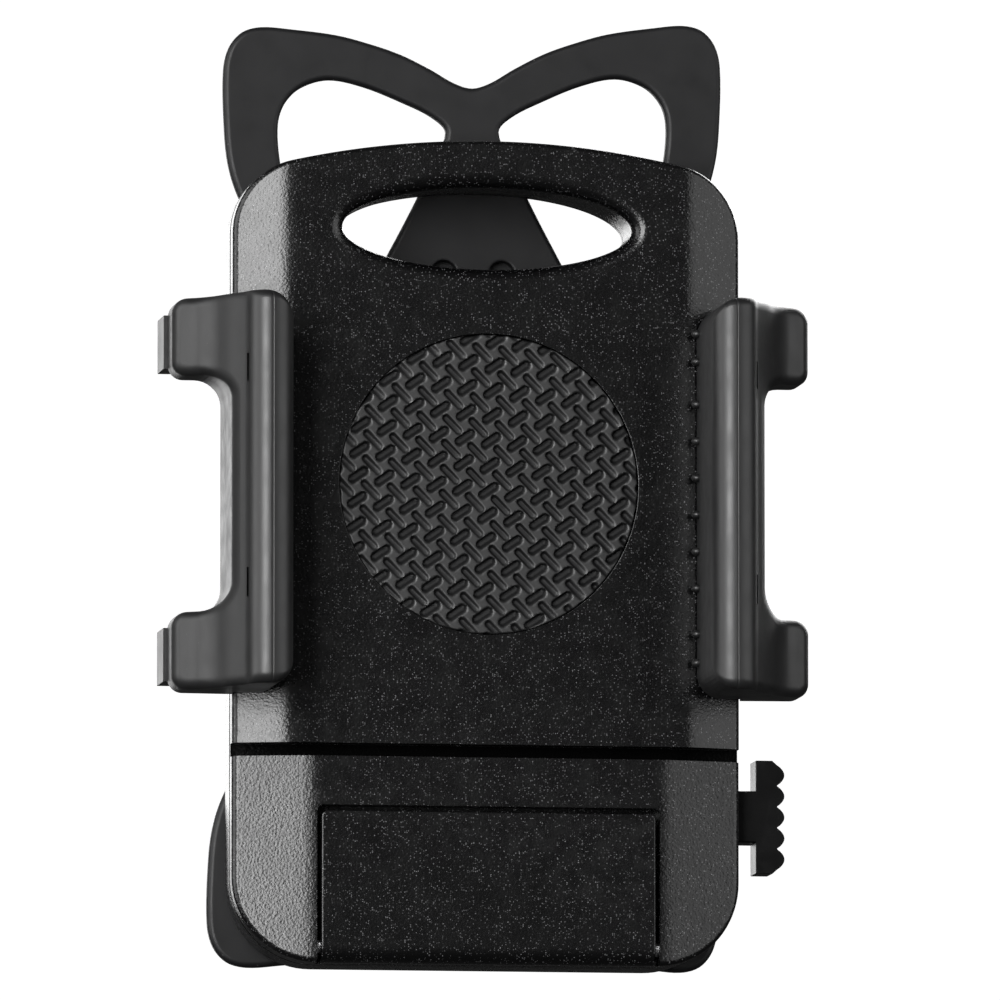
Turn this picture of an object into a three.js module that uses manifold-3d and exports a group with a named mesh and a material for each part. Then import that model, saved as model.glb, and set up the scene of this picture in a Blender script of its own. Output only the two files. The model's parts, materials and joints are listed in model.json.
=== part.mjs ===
// Phone handlebar mount: cradle with rack-coupled jaws, fold-out ledge, release button,
// silicone X-band, ball joint and screw clamp. Millimetres, +Z up. The phone side (front) is -Y,
// the handlebar side (rear) is +Y, right is +X. The origin is on the front face of the round
// grip pad.
import * as THREE from 'three';
import { mergeVertices } from 'three/addons/utils/BufferGeometryUtils.js';
import Module from 'manifold-3d';

const wasm = await Module();
wasm.setup();

// ---------------------------------------------------------------- driving dimensions
// Pairs in square brackets are [low, high] ranges along an axis.

// cradle
const BODY_W = 33.3;            // half width
const BODY_TOP = 45.0;
const BODY_BOT = -62.6;
const TOP_R = 115;              // crown of the top edge
const CORNER_R = 9.6;
const FOOT_CORNER_R = 11.2;
const FRONT_REAR = 4.9;         // rear face of the front cover
const REAR_FRONT = 5.2;         // front face of the rear cover
const REAR_BACK = 14.0;
const FACE_T = 2.0;
const WALL = 1.7;
const GROOVE_Z = [-35.7, -34.0];
const GROOVE_MID = (GROOVE_Z[0] + GROOVE_Z[1]) / 2;
// sloping sides of the front face: start at startX and fall back by drop at the cradle's edge
const UPPER_FACET = { startX: 26.4, drop: 2.1 };
const LOWER_FACET = { startX: 22.9, drop: 2.4 };

// reach of cutting and trimming solids beyond the cradle
const REACH = 40;
const BELOW = -70;
const ABOVE = 60;

// case screws, [x, z]
const CASE_SCREWS = [[-27.2, 33.2], [27.2, 33.2], [-27.0, -54.2], [27.0, -54.2]];
const SCREW_HOLE_R = 1.5;
const SLOT_HALF_W = 0.28;       // cross recess in the screw heads

// oval window and round grip pad
const OVAL_Z = 33.6;
const OVAL_HALF_W = 19.0;
const OVAL_HALF_H = 5.33;
const PAD_R = 19.5;
const PAD_GAP = 0.35;

// ledge
const LEDGE_W = 21.9;           // half width
const LEDGE_TOP = -42.75;
const LEDGE_T = 2.7;
const HINGE_Y = 2.3;
const HINGE_Z = -60.3;
const HINGE_R = 2.3;
const HINGE_BORE_R = 1.2;

// jaws, rails and pinion
const JAW_Z = -2.2;             // height of the pinion and ball joint, midway between the rails
const RAIL_OFFSET = 20.4;
const RAIL_UP = JAW_Z + RAIL_OFFSET;
const RAIL_LO = JAW_Z - RAIL_OFFSET;
const RAIL_Y = [5.4, 9.2];
const RAIL_HALF = 3.5;          // half height
const RAIL_LO_BOT = RAIL_LO - RAIL_HALF;
const SLOT_Y = [4, 9.6];        // rail slots in the rear cover
const ARM_END = 42.3;
const JAW_SPAN = [-27.7, 23.4];
const TABS = [[13.2, 23.3], [-27.5, -17.5]];
const TAB_END = 41.8;
const PINION_R = 6.0;
const PINION_TEETH = 12;
const RACK_PITCH = 2 * Math.PI * PINION_R / PINION_TEETH;
const PRESSURE_ANGLE = 20 * Math.PI / 180;
const BACKLASH = 0.14;          // taken off half a tooth
const AXLE_BORE_R = 1.75;

// release button and pawl
const BTN_Z = -42.5;
const BTN_Y = [5.7, 10.3];
const PAWL_X = 12.0;
const PAWL_Z = -35.0;
const PAWL_Y = [6.2, 8.8];
const PAWL_BOSS_R = 2.4;
const PAWL_BORE_R = 1.4;

// band, ball joint and clamp
const BAND_Y = [14.3, 16.5];
const BALL_Y = 26.8;
const BALL_R = 8.6;
const SOCKET_SCREW_OFFSET = 12.5;
const BAR_Y = 66.0;             // handlebar axis
const CLAMP_HALF = 11.0;

// ---------------------------------------------------------------- materials
const material = (options) => new THREE.MeshStandardMaterial(options);
const blackShell = material({ color: 0x1b1b1d, roughness: 0.62, metalness: 0 });
const blackPlastic = material({ color: 0x161618, roughness: 0.55, metalness: 0 });
const rubber = material({ color: 0x2c2c2e, roughness: 0.85, metalness: 0 });
const silicone = material({ color: 0x2a2b2d, roughness: 0.7, metalness: 0 });
const acetal = material({ color: 0xd9d7cf, roughness: 0.45, metalness: 0 });
const steel = material({ color: 0xb9bbbe, roughness: 0.32, metalness: 1 });
const darkSteel = material({ color: 0x55575a, roughness: 0.4, metalness: 1 });
const aluminium = material({ color: 0x2b2c2f, roughness: 0.42, metalness: 0.8 });
const brass = material({ color: 0xb08d4a, roughness: 0.35, metalness: 1 });

// ---------------------------------------------------------------- solids and meshes
// Welds a geometry and drops its collapsed triangles, so that it closes into a solid.
function solid(geometry) {
  const loose = geometry.index ? geometry.toNonIndexed() : geometry.clone();
  for (const key of Object.keys(loose.attributes)) {
    if (key !== 'position') loose.deleteAttribute(key);
  }
  const welded = mergeVertices(loose, 1e-4);
  const index = welded.index.array;
  const triangles = [];
  for (let i = 0; i < index.length; i += 3) {
    const [a, b, c] = index.slice(i, i + 3);
    if (a !== b && b !== c && a !== c) triangles.push(a, b, c);
  }
  return new wasm.Manifold(new wasm.Mesh({
    numProp: 3,
    vertProperties: new Float32Array(welded.attributes.position.array),
    triVerts: new Uint32Array(triangles),
  }));
}

const join = (...solids) => solids.reduce((a, b) => a.add(b));
const cut = (body, ...tools) => tools.reduce((a, b) => a.subtract(b), body);
const common = (...solids) => solids.reduce((a, b) => a.intersect(b));
const mirrorX = (body) => body.mirror([1, 0, 0]);
const mirrored = (body) => [body, mirrorX(body)];

const group = new THREE.Group();
function put(name, body, surface) {
  const data = body.getMesh();
  const geometry = new THREE.BufferGeometry();
  const positions = new Float32Array(data.vertProperties);
  geometry.setAttribute('position', new THREE.BufferAttribute(positions, 3));
  geometry.setIndex(new THREE.BufferAttribute(new Uint32Array(data.triVerts), 1));
  const flat = geometry.toNonIndexed();
  flat.computeVertexNormals();
  const mesh = new THREE.Mesh(flat, surface);
  mesh.name = name;
  group.add(mesh);
}

// ---------------------------------------------------------------- shape helpers
const span = (half, centre = 0) => [centre - half, centre + half];
const grow = ([low, high], by) => [low - by, high + by];
const middle = ([low, high]) => (low + high) / 2;
const vectors = (points) => points.map(([x, y]) => new THREE.Vector2(x, y));

const extrude = (points, [low, high], bevel) => new THREE.ExtrudeGeometry(
  new THREE.Shape(vectors(points)),
  {
    depth: high - low - 2 * bevel,
    steps: 1,
    bevelEnabled: bevel > 0,
    bevelSize: bevel,
    bevelThickness: bevel,
    bevelOffset: -bevel,
    bevelSegments: 2,
  },
);

// outline in X,Z pushed along Y
const prismY = (points, y, bevel = 0) => solid(
  extrude(points, y, bevel).rotateX(Math.PI / 2).translate(0, y[1] - bevel, 0));

// outline in Y,Z pushed along X
const YZ_TO_X = new THREE.Matrix4().makeBasis(
  new THREE.Vector3(0, 1, 0), new THREE.Vector3(0, 0, 1), new THREE.Vector3(1, 0, 0));
const prismX = (points, x, bevel = 0) => solid(
  extrude(points, x, bevel).applyMatrix4(YZ_TO_X).translate(x[0] + bevel, 0, 0));

// outline in X,Y pushed along Z
const prismZ = (points, z, bevel = 0) => solid(
  extrude(points, z, bevel).translate(0, 0, z[0] + bevel));

const box = (x, y, z) => solid(
  new THREE.BoxGeometry(x[1] - x[0], y[1] - y[0], z[1] - z[0])
    .translate(middle(x), middle(y), middle(z)));

const cylY = (x, z, radius, y, sides) => solid(
  new THREE.CylinderGeometry(radius, radius, y[1] - y[0], sides).translate(x, middle(y), z));

// cylinder on the ledge hinge axis, along X
const hingeCylinder = (radius, halfLength, sides) => solid(
  new THREE.CylinderGeometry(radius, radius, 2 * halfLength, sides)
    .rotateZ(Math.PI / 2).translate(0, HINGE_Y, HINGE_Z));

// cylinder on the clamp screw axis, along Z
const clampCylinder = (radius, z, sides) => solid(
  new THREE.CylinderGeometry(radius, radius, z[1] - z[0], sides)
    .rotateX(Math.PI / 2).translate(0, BAR_Y, middle(z)));

// profile of [radius, y] turned about the Y axis through x, z
const turnY = (profile, x, z, sides) => solid(
  new THREE.LatheGeometry(vectors(profile), sides).translate(x, 0, z));

// points on an arc, angles in degrees
function arc(centreX, centreY, radius, from, to, steps) {
  const points = [];
  for (let i = 0; i <= steps; i++) {
    const angle = (from + (to - from) * i / steps) * Math.PI / 180;
    points.push([centreX + radius * Math.cos(angle), centreY + radius * Math.sin(angle)]);
  }
  return points;
}

function roundRect([x0, x1], [z0, z1], radius) {
  return [
    ...arc(x1 - radius, z0 + radius, radius, -90, 0, 4),
    ...arc(x1 - radius, z1 - radius, radius, 0, 90, 4),
    ...arc(x0 + radius, z1 - radius, radius, 90, 180, 4),
    ...arc(x0 + radius, z0 + radius, radius, 180, 270, 4),
  ];
}

// strip wound into a flat spiral in X,Z; the leg points follow its outer end
function spiralStrip({ x, z, innerR, outerR, halfT, startTurn, turns, steps, leg = [] }) {
  const outside = [];
  const inside = [];
  for (let i = 0; i <= steps; i++) {
    const angle = (startTurn + i / steps * turns) * 2 * Math.PI;
    const radius = innerR + (outerR - innerR) * i / steps;
    const at = (r) => [x + r * Math.cos(angle), z + r * Math.sin(angle)];
    outside.push(at(radius + halfT));
    inside.push(at(radius - halfT));
  }
  return [...outside, ...leg, ...inside.reverse()];
}

// turned screw along Y with a cross recess in its rear end
function crossScrew(profile, [x, z], slotHalf, slotY) {
  const cross = join(
    box(span(slotHalf, x), slotY, span(SLOT_HALF_W, z)),
    box(span(SLOT_HALF_W, x), slotY, span(slotHalf, z)));
  return cut(turnY(profile, x, z, 12), cross);
}

const SOCKET_SCREWS = [-1, 1].flatMap((sideX) => [-1, 1].map(
  (sideZ) => [sideX * SOCKET_SCREW_OFFSET, JAW_Z + sideZ * SOCKET_SCREW_OFFSET]));
const cylindersAt = (places, radius, y, sides) => places.map(
  ([x, z]) => cylY(x, z, radius, y, sides));

// ================================================================ cradle covers
// The top corners are tangent to the side walls and to the crowned top edge.
const CROWN_Z = BODY_TOP - TOP_R;
const CORNER_X = BODY_W - CORNER_R;
const CORNER_Z = CROWN_Z + Math.sqrt((TOP_R - CORNER_R) ** 2 - CORNER_X ** 2);
const CORNER_ANGLE = Math.atan2(CORNER_Z - CROWN_Z, CORNER_X) * 180 / Math.PI;

function cradleOutline(inset) {
  const cornerR = CORNER_R - inset;
  const footR = FOOT_CORNER_R - inset;
  const footX = BODY_W - FOOT_CORNER_R;
  const footZ = BODY_BOT + FOOT_CORNER_R;
  const crown = arc(0, CROWN_Z, TOP_R - inset, CORNER_ANGLE, 180 - CORNER_ANGLE, 10);
  return [
    ...arc(footX, footZ, footR, -90, 0, 6),
    ...arc(CORNER_X, CORNER_Z, cornerR, 0, CORNER_ANGLE, 6),
    ...crown.slice(1, -1),
    ...arc(-CORNER_X, CORNER_Z, cornerR, 180 - CORNER_ANGLE, 180, 6),
    ...arc(-footX, footZ, footR, 180, 270, 6),
  ];
}

// oval window outline, enlarged all round by margin
function windowOval(margin) {
  const points = [];
  for (let i = 0; i < 32; i++) {
    const angle = i / 32 * 2 * Math.PI;
    points.push([
      (OVAL_HALF_W + margin) * Math.cos(angle),
      OVAL_Z + (OVAL_HALF_H + margin) * Math.sin(angle),
    ]);
  }
  return points;
}

// everything behind a faceted front face, moved back by shiftY
function behindFacet({ startX, drop }, z, shiftY) {
  const back = 12;
  const edgeY = drop / (BODY_W - startX) * (REACH - startX);
  const section = [
    [-REACH, back], [-REACH, edgeY], [-startX, 0], [startX, 0], [REACH, edgeY], [REACH, back],
  ];
  return prismZ(section, z).translate([0, shiftY, 0]);
}
const behindFace = (shiftY) => join(
  behindFacet(UPPER_FACET, [GROOVE_MID, ABOVE], shiftY),
  behindFacet(LOWER_FACET, [BELOW, GROOVE_MID], shiftY));

function frontCoverInside() {
  const recessX = span(LEDGE_W + 2);
  const recessTop = LEDGE_TOP + 2.2;
  const guideY = [2.0, FRONT_REAR];
  const bossY = [3.0, 5.1];
  const hingeBlock = box(span(29), [0.3, FRONT_REAR], [-61.6, -56.8]);
  return common(prismY(cradleOutline(0.4), [0.3, FRONT_REAR]), join(
    // floor under the grip pad and boss for the pinion axle
    cylY(0, 0, PAD_R + PAD_GAP + 1.3, [1.6, 3.4], 32),
    cylY(0, JAW_Z, 3.6, bossY, 20),
    // ledge recess: floor, top wall and side walls
    box(recessX, [3.2, 4.5], [BODY_BOT + 0.4, recessTop]),
    box(recessX, [1.5, 4.5], [LEDGE_TOP + 0.6, recessTop]),
    ...mirrored(box([LEDGE_W + 0.6, LEDGE_W + 2], [1.0, FRONT_REAR], [-61.5, recessTop])),
    common(hingeBlock, behindFacet(LOWER_FACET, [BELOW, -50], 0.5)),
    // bridge behind the groove
    box(span(31.6), [2.0, 4.6], grow(GROOVE_Z, 1.8)),
    cylY(PAWL_X, PAWL_Z, PAWL_BOSS_R, bossY, 16),
    // guide ribs in front of the rails
    box(span(30.5), guideY, [RAIL_UP + 1.8, RAIL_UP + 3.0]),
    box(span(30.5), guideY, span(0.6, RAIL_LO)),
    ...cylindersAt(CASE_SCREWS, 3.2, [1.9, FRONT_REAR], 10),
  ));
}

// widening of the oval window towards the front face
function windowFlare() {
  const geometry = new THREE.ExtrudeGeometry(new THREE.Shape(vectors(windowOval(0))), {
    depth: 5,
    bevelEnabled: true,
    bevelSize: 1.5,
    bevelThickness: 1.3,
    bevelOffset: 0,
    bevelSegments: 2,
  });
  return solid(geometry.rotateX(Math.PI / 2));
}

function frontCover() {
  const bodyY = [0, 9];
  const outer = common(
    prismY(cradleOutline(0), bodyY, 1.0),
    behindFace(0),
    box(span(REACH), [-1, FRONT_REAR], [BELOW, ABOVE]));
  const cavity = common(
    prismY(cradleOutline(WALL), [FACE_T, bodyY[1]]),
    behindFace(FACE_T));
  const stripX = span(LEDGE_W + 0.2);
  const body = join(
    cut(outer, cavity),
    common(frontCoverInside(), behindFace(0.2)),
    // sleeve round the oval window
    prismY(windowOval(1.4), [1.0, 7.4]),
    // L-shaped strip behind the ledge hinge
    box(stripX, [FRONT_REAR, 6.1], [-59.6, -55.4]),
    box(stripX, [4.2, 6.1], [-56.6, -55.4]));
  const recessX = span(LEDGE_W + 0.6);
  return cut(body,
    prismY(windowOval(0), [-1, 20]),
    windowFlare(),
    cylY(0, 0, PAD_R + PAD_GAP, [-1, 1.85], 48),
    // cross groove, deeper at its ends
    box(span(REACH), [-1, 2.8], GROOVE_Z),
    ...mirrored(box([32.3, REACH], [-1, 3], GROOVE_Z)),
    // ledge recess, deeper round the hinge
    box(recessX, [-1, 3.2], [-64, LEDGE_TOP + 0.7]),
    box(recessX, [-1, FRONT_REAR], [-64, -56.6]),
    // holes for pins and screws
    hingeCylinder(HINGE_BORE_R, 27.2, 16),
    cylY(0, JAW_Z, AXLE_BORE_R, [3.3, 8], 24),
    cylY(PAWL_X, PAWL_Z, PAWL_BORE_R, [3.6, 8], 16),
    ...cylindersAt(CASE_SCREWS, SCREW_HOLE_R, [3.1, 8], 10));
}

function rearCover() {
  const floorY = 12.0;
  const ribBack = 12.4;         // ribs and bosses sink into the floor
  const outer = common(
    prismY(cradleOutline(0), [0, REAR_BACK], 2.0),
    box(span(REACH), [REAR_FRONT, 20], [BELOW, ABOVE]));
  const shell = cut(outer, prismY(cradleOutline(WALL + 0.1), [0, floorY]));
  const railGuides = [RAIL_UP, RAIL_LO].map(
    (z) => box(span(31.5), [9.6, ribBack], span(0.7, z)));
  const buttonGuide = (z) => box([27.0, 31.5], [REAR_FRONT, ribBack], z);
  const inside = common(prismY(cradleOutline(0.6), [REAR_FRONT, 12.6]), join(
    prismY(windowOval(2.0), [7.8, ribBack]),
    ...cylindersAt(CASE_SCREWS, 3.4, [REAR_FRONT, ribBack], 10),
    ...railGuides,
    ...cylindersAt(SOCKET_SCREWS, 2.6, [9.7, ribBack], 10),
    // opening spring peg, pawl boss and button spring rib
    cylY(8.3, JAW_Z, 0.8, [9.7, ribBack], 12),
    cylY(PAWL_X, PAWL_Z, PAWL_BOSS_R, [9.4, ribBack], 16),
    box([10.2, 11.6], [6.2, ribBack], [-50.6, -46.2]),
    buttonGuide([BTN_Z + 3.7, BTN_Z + 5.1]),
    buttonGuide([BTN_Z - 5.1, BTN_Z - 3.7]),
  ));
  const slotX = [30, 34];
  const railSlots = [RAIL_UP, RAIL_LO].flatMap(
    (z) => mirrored(box(slotX, SLOT_Y, span(RAIL_HALF + 0.35, z))));
  return cut(join(shell, inside),
    ...railSlots,
    // room for the ratchet teeth, then the button opening
    box(slotX, SLOT_Y, [RAIL_LO_BOT - 1.4, RAIL_LO_BOT]),
    box(slotX, [4, BTN_Y[1] + 0.4], span(3.7, BTN_Z)),
    prismY(windowOval(0.6), [0, 20]),
    cylY(0, JAW_Z, AXLE_BORE_R, [10, 13.2], 24),
    cylY(PAWL_X, PAWL_Z, PAWL_BORE_R, [8, 13.2], 16),
    ...cylindersAt(CASE_SCREWS, SCREW_HOLE_R, [4, 20], 10),
    ...cylindersAt(CASE_SCREWS, 2.9, [12.2, 20], 12),
    ...cylindersAt(SOCKET_SCREWS, SCREW_HOLE_R, [10.6, 20], 10));
}

put('front_cover', frontCover(), blackShell);
put('rear_cover', rearCover(), blackShell);

// [radius, y]
const CASE_SCREW_PROFILE = [
  [0, 3.6], [0.9, 3.6], [1.2, 4.0], [1.2, 12.5], [2.4, 12.5], [2.4, 13.3], [1.9, 13.9], [0, 13.9],
];
CASE_SCREWS.forEach((place, i) => {
  put(`case_screw_${i + 1}`, crossScrew(CASE_SCREW_PROFILE, place, 1.3, [13.1, 15]), darkSteel);
});

// ================================================================ grip pad
const PAD_PROFILE = [[0, 0], [PAD_R - 0.5, 0], [PAD_R, 0.4], [PAD_R, 1.5], [0, 1.5]];
put('grip_pad', turnY(PAD_PROFILE, 0, 0, 64), rubber);

// ================================================================ fold-out ledge
function supportLedge() {
  // [y, z], with a chamfer on the front top edge
  const section = [
    [0.5, LEDGE_TOP], [LEDGE_T, LEDGE_TOP], [LEDGE_T, HINGE_Z], [0, HINGE_Z],
    [0, LEDGE_TOP - 0.5],
  ];
  const plate = prismX(section, span(LEDGE_W));
  const barrel = hingeCylinder(HINGE_R, LEDGE_W, 32);
  return cut(join(plate, barrel), hingeCylinder(HINGE_BORE_R, 30, 20));
}
put('support_ledge', supportLedge(), blackShell);
put('ledge_hinge_pin', hingeCylinder(1.0, 26.6, 16), steel);

// ================================================================ jaws
// rack strip with its teeth on the side direction (+1 up, -1 down) of the pitch line
function rack([x0, x1], pitchZ, direction) {
  const addendum = 0.65;
  const dedendum = 1.15;
  const slope = Math.tan(PRESSURE_ANGLE);
  const half = RACK_PITCH / 4 - BACKLASH;
  const rootHalf = half + dedendum * slope;
  const tipHalf = half - addendum * slope;
  const back = pitchZ - direction * (dedendum + 3.0);
  const root = pitchZ - direction * dedendum;
  const tip = pitchZ + direction * addendum;
  const points = [[x0, back], [x0, root]];
  const first = Math.ceil((x0 + rootHalf) / RACK_PITCH);
  const last = Math.floor((x1 - rootHalf) / RACK_PITCH);
  for (let i = first; i <= last; i++) {
    const x = i * RACK_PITCH;
    points.push([x - rootHalf, root], [x - tipHalf, tip], [x + tipHalf, tip], [x + rootHalf, root]);
  }
  points.push([x1, root], [x1, back]);
  return prismY(points, RAIL_Y);
}

// Plastic core of the right jaw. With clearance it is the pocket in the rubber cap,
// whose tab pockets also run further back.
function jawCore(clearance) {
  const x0 = 29.3 - clearance;
  const x1 = 33.2 + clearance;
  const backY = -0.35 + clearance;
  const section = [
    [x0, backY], [x0, -12.6 - clearance], [30.3 - clearance, -13.4 - clearance],
    [31.4 + clearance, -12.9 - clearance], [x1, -9.5 - clearance], [x1, backY],
  ];
  const tabX = grow([30.5, TAB_END - 1.2], clearance);
  const tabY = [-1.7 - clearance, clearance > 0 ? 2.95 : -0.35];
  return join(
    prismZ(section, grow(JAW_SPAN, clearance - 1.7)),
    ...TABS.map((z) => prismY(roundRect(tabX, grow(z, clearance - 1.6), 1.2), tabY)));
}

// core of the right jaw with its two arms and rails
function jawFrame() {
  const arm = (z) => join(
    box([33.6, ARM_END], [2.9, RAIL_Y[1]], span(RAIL_HALF, z)),
    box([33.6, TAB_END - 1.2], [-1.0, 3.2], span(RAIL_HALF - 0.1, z)),
    box([1.0, ARM_END - 0.5], RAIL_Y, span(RAIL_HALF, z)));
  return join(jawCore(0), arm(RAIL_UP), arm(RAIL_LO));
}

// saw teeth under the lower rail
function ratchetTeeth() {
  const pitch = 1.25;
  const root = RAIL_LO_BOT + 0.2;
  const tip = RAIL_LO_BOT - 1.0;
  const teeth = [];
  for (let i = 0; i < 15; i++) {
    const x = 2.2 + i * pitch;
    teeth.push(prismY([[x, root], [x + 1.1, tip], [x + 1.2, tip], [x + pitch, root]], [6.0, 9.0]));
  }
  return teeth;
}

// The right rack runs below the pinion and is tied to the lower rail by a web.
const rightJaw = () => join(
  jawFrame(),
  rack([-21, 6], JAW_Z - PINION_R, 1),
  box([2, 6], RAIL_Y, [RAIL_LO + 2, JAW_Z - PINION_R - 3.5]),
  ...ratchetTeeth());

// The left rack runs above the pinion and is tied to the upper rail by a web.
const leftJaw = () => join(
  mirrorX(jawFrame()),
  rack([-6, 21], JAW_Z + PINION_R, -1),
  box([-6, -2], RAIL_Y, [JAW_Z + PINION_R + 3.5, RAIL_UP - 2]));

// [x, y] section of the bead along the right jaw
const BEAD_SECTION = [
  [27.7, 0.0], [27.4, -3], ...arc(30.35, -12.1, 3.0, 180, 348, 8), [33.9, -11.3],
  [34.6, -10.0], [34.9, -8.4], [34.8, -4], [34.3, 1.4], [33.4, 1.4], [33.4, 0.0],
];
// [x, y] hooked section of the two tabs
const HOOK_SECTION = [
  [30.5, 2.6], [30.5, -10.5], [33.2, -12.3], [34.3, -10.8], [35.5, -8.9], [36.8, -6.6],
  [38.2, -4.8], [39.8, -3.7], [41.2, -3.1], [TAB_END, -2.4], [TAB_END, 2.6],
];

function rightJawCap() {
  const trimY = [-20, 10];
  const tabs = TABS.map(
    (z) => common(prismZ(HOOK_SECTION, z), prismY(roundRect([20, TAB_END], z, 1.4), trimY)));
  const skin = join(
    prismZ(BEAD_SECTION, JAW_SPAN),
    cut(join(...tabs), box([20, 33.4], [0, 4], span(REACH))));
  const rounding = prismY(roundRect([26, TAB_END + 1], JAW_SPAN, 2.6), trimY);
  const armHole = (z) => box([33.3, TAB_END - 0.85], [-1.3, 5], span(RAIL_HALF + 0.25, z));
  return cut(common(cut(skin, jawCore(0.3)), rounding), armHole(RAIL_UP), armHole(RAIL_LO));
}

put('right_jaw', rightJaw(), blackPlastic);
put('left_jaw', leftJaw(), blackPlastic);
const jawCap = rightJawCap();
put('right_jaw_cap', jawCap, rubber);
put('left_jaw_cap', mirrorX(jawCap), rubber);

// ================================================================ pinion, axle, opening spring
function drivePinion() {
  const baseR = PINION_R * Math.cos(PRESSURE_ANGLE);
  const flankRadii = [PINION_R - 0.95, baseR, PINION_R, PINION_R + 0.45, PINION_R + 0.85];
  const involute = (radius) => {
    const roll = Math.sqrt(Math.max(0, (radius / baseR) ** 2 - 1));
    return roll - Math.atan(roll);
  };
  const pitchHalf = Math.PI / (2 * PINION_TEETH) - BACKLASH / PINION_R;
  const halfAngle = (r) => pitchHalf + involute(PINION_R) - involute(Math.max(r, baseR));
  const at = (radius, angle) => [radius * Math.cos(angle), JAW_Z + radius * Math.sin(angle)];
  const points = [];
  for (let i = 0; i < PINION_TEETH; i++) {
    // half a tooth of offset leaves a gap facing up and a gap facing down
    const angle = Math.PI / 2 + Math.PI / PINION_TEETH + i * 2 * Math.PI / PINION_TEETH;
    const rising = flankRadii.map((radius) => at(radius, angle - halfAngle(radius)));
    const falling = flankRadii.map((radius) => at(radius, angle + halfAngle(radius)));
    points.push(...rising, ...falling.reverse());
  }
  const gear = prismY(points, [5.5, 9.1]);
  const hub = cylY(0, JAW_Z, 3.0, [9.0, 9.6], 20);
  return cut(join(gear, hub), cylY(0, JAW_Z, 1.65, [4, 12], 28));
}
put('drive_pinion', drivePinion(), acetal);

// [radius, y]
const AXLE_PROFILE = [[0, 3.6], [1.2, 3.6], [1.5, 3.9], [1.5, 12.7], [1.2, 13.0], [0, 13.0]];
put('pinion_axle', turnY(AXLE_PROFILE, 0, JAW_Z, 28), steel);

const OPENING_SPRING = {
  x: 0, z: JAW_Z, innerR: 2.2, outerR: 6.9, halfT: 0.25, startTurn: 0, turns: 3, steps: 42,
};
put('opening_spring', prismY(spiralStrip(OPENING_SPRING), [9.9, 11.6]), steel);

// ================================================================ release button, pawl
function releaseButton() {
  const headX = 36.0;
  const edgeX = 38.4;
  const [z0, z1] = span(7.4, BTN_Z);
  const outline = [[headX, z1], [headX, z0], [edgeX, z0]];
  // five finger ribs, a coarse cosine wave about waveX
  const waveX = 39.25;
  const waveHeight = 0.5;
  const wavePitch = 2.75;
  for (let i = -2; i <= 2; i++) {
    for (const phase of [-0.5, -0.28, 0, 0.28]) {
      outline.push([
        waveX + waveHeight * Math.cos(phase * 2 * Math.PI),
        BTN_Z + (i + phase) * wavePitch,
      ]);
    }
  }
  outline.push([edgeX, z1]);
  return join(
    prismY(outline, BTN_Y),
    // stem, narrow nose at its inner end, cross plate
    box([24, 36.2], BTN_Y, span(3.4, BTN_Z)),
    box([16.4, 24.2], [6.4, 8.6], span(1.0, BTN_Z)),
    box([22.0, 25.0], [6.0, 10.0], [BTN_Z - 7.9, BTN_Z + 5.4]));
}

// coil spring along X
function buttonSpring() {
  const [x0, x1] = [12.2, 21.4];
  const y = 8.0;
  const z = BTN_Z - 5.9;
  const coilR = 1.5;
  const wireR = 0.28;
  const turns = 5;
  class Helix extends THREE.Curve {
    getPoint(t, target = new THREE.Vector3()) {
      const angle = t * turns * 2 * Math.PI;
      return target.set(
        x0 + (x1 - x0) * t,
        y + coilR * Math.cos(angle),
        z + coilR * Math.sin(angle));
    }
  }
  const wire = new THREE.Shape(vectors(arc(0, 0, wireR, 0, 360, 4).slice(0, -1)));
  return solid(new THREE.ExtrudeGeometry(wire, {
    steps: 45,
    bevelEnabled: false,
    extrudePath: new Helix(),
  }));
}

// [x, z] outlines of the pawl: arm up to the ratchet, tail down to the button
const PAWL_ARM = [
  [PAWL_X - 0.5, PAWL_Z + 2.6], [18.6, -29.6], [19.5, -27.45], [19.9, -27.45],
  [20.4, -30.4], [PAWL_X + 2.4, PAWL_Z - 1.2],
];
const PAWL_TAIL = [
  [PAWL_X - 1.6, PAWL_Z - 1.8], [PAWL_X + 2.2, PAWL_Z - 0.8], [15.9, -41.2],
  [15.9, -43.0], [15.0, -43.4], [14.0, -42.9],
];
const pawlLever = () => cut(
  join(
    cylY(PAWL_X, PAWL_Z, 2.7, PAWL_Y, 20),
    prismY(PAWL_ARM, PAWL_Y),
    prismY(PAWL_TAIL, PAWL_Y)),
  cylY(PAWL_X, PAWL_Z, 1.35, [4, 12], 20));

// flat torsion spring in front of the pawl hub, with one straight leg
const PAWL_SPRING = {
  x: PAWL_X, z: PAWL_Z, innerR: 1.6, outerR: 2.6, halfT: 0.14, startTurn: 0.25, turns: 2, steps: 26,
  leg: [[PAWL_X - 4.6, PAWL_Z + 2.74], [PAWL_X - 4.6, PAWL_Z + 2.46]],
};

put('release_button', releaseButton(), blackPlastic);
put('button_spring', buttonSpring(), steel);
put('pawl_lever', pawlLever(), acetal);
put('pawl_pin', cylY(PAWL_X, PAWL_Z, 1.15, [3.9, 13.0], 20), steel);
put('pawl_spring', prismY(spiralStrip(PAWL_SPRING), [5.35, 5.95]), steel);

// ================================================================ silicone X-band
const WAIST_X = 19.2;
// [x, z] outer edge of the upper right quarter, from the top centre to the waist
const BAND_EDGE = [
  [0, 53.7], [2.4, 54.4], [5.5, 56.2], [9.5, 58.2], [13.5, 59.6], [18, 60.8], [24, 61.6],
  [28.0, 61.9], [30.5, 61.2], [32.2, 59.2], [32.9, 56.2], [32.8, 49.0], [32.3, 44.0],
  [31.0, 39.6], [28.2, 34.2], [24.6, 28.6], [21.0, 22.6], [19.6, 17], [WAIST_X, 8],
];
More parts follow.
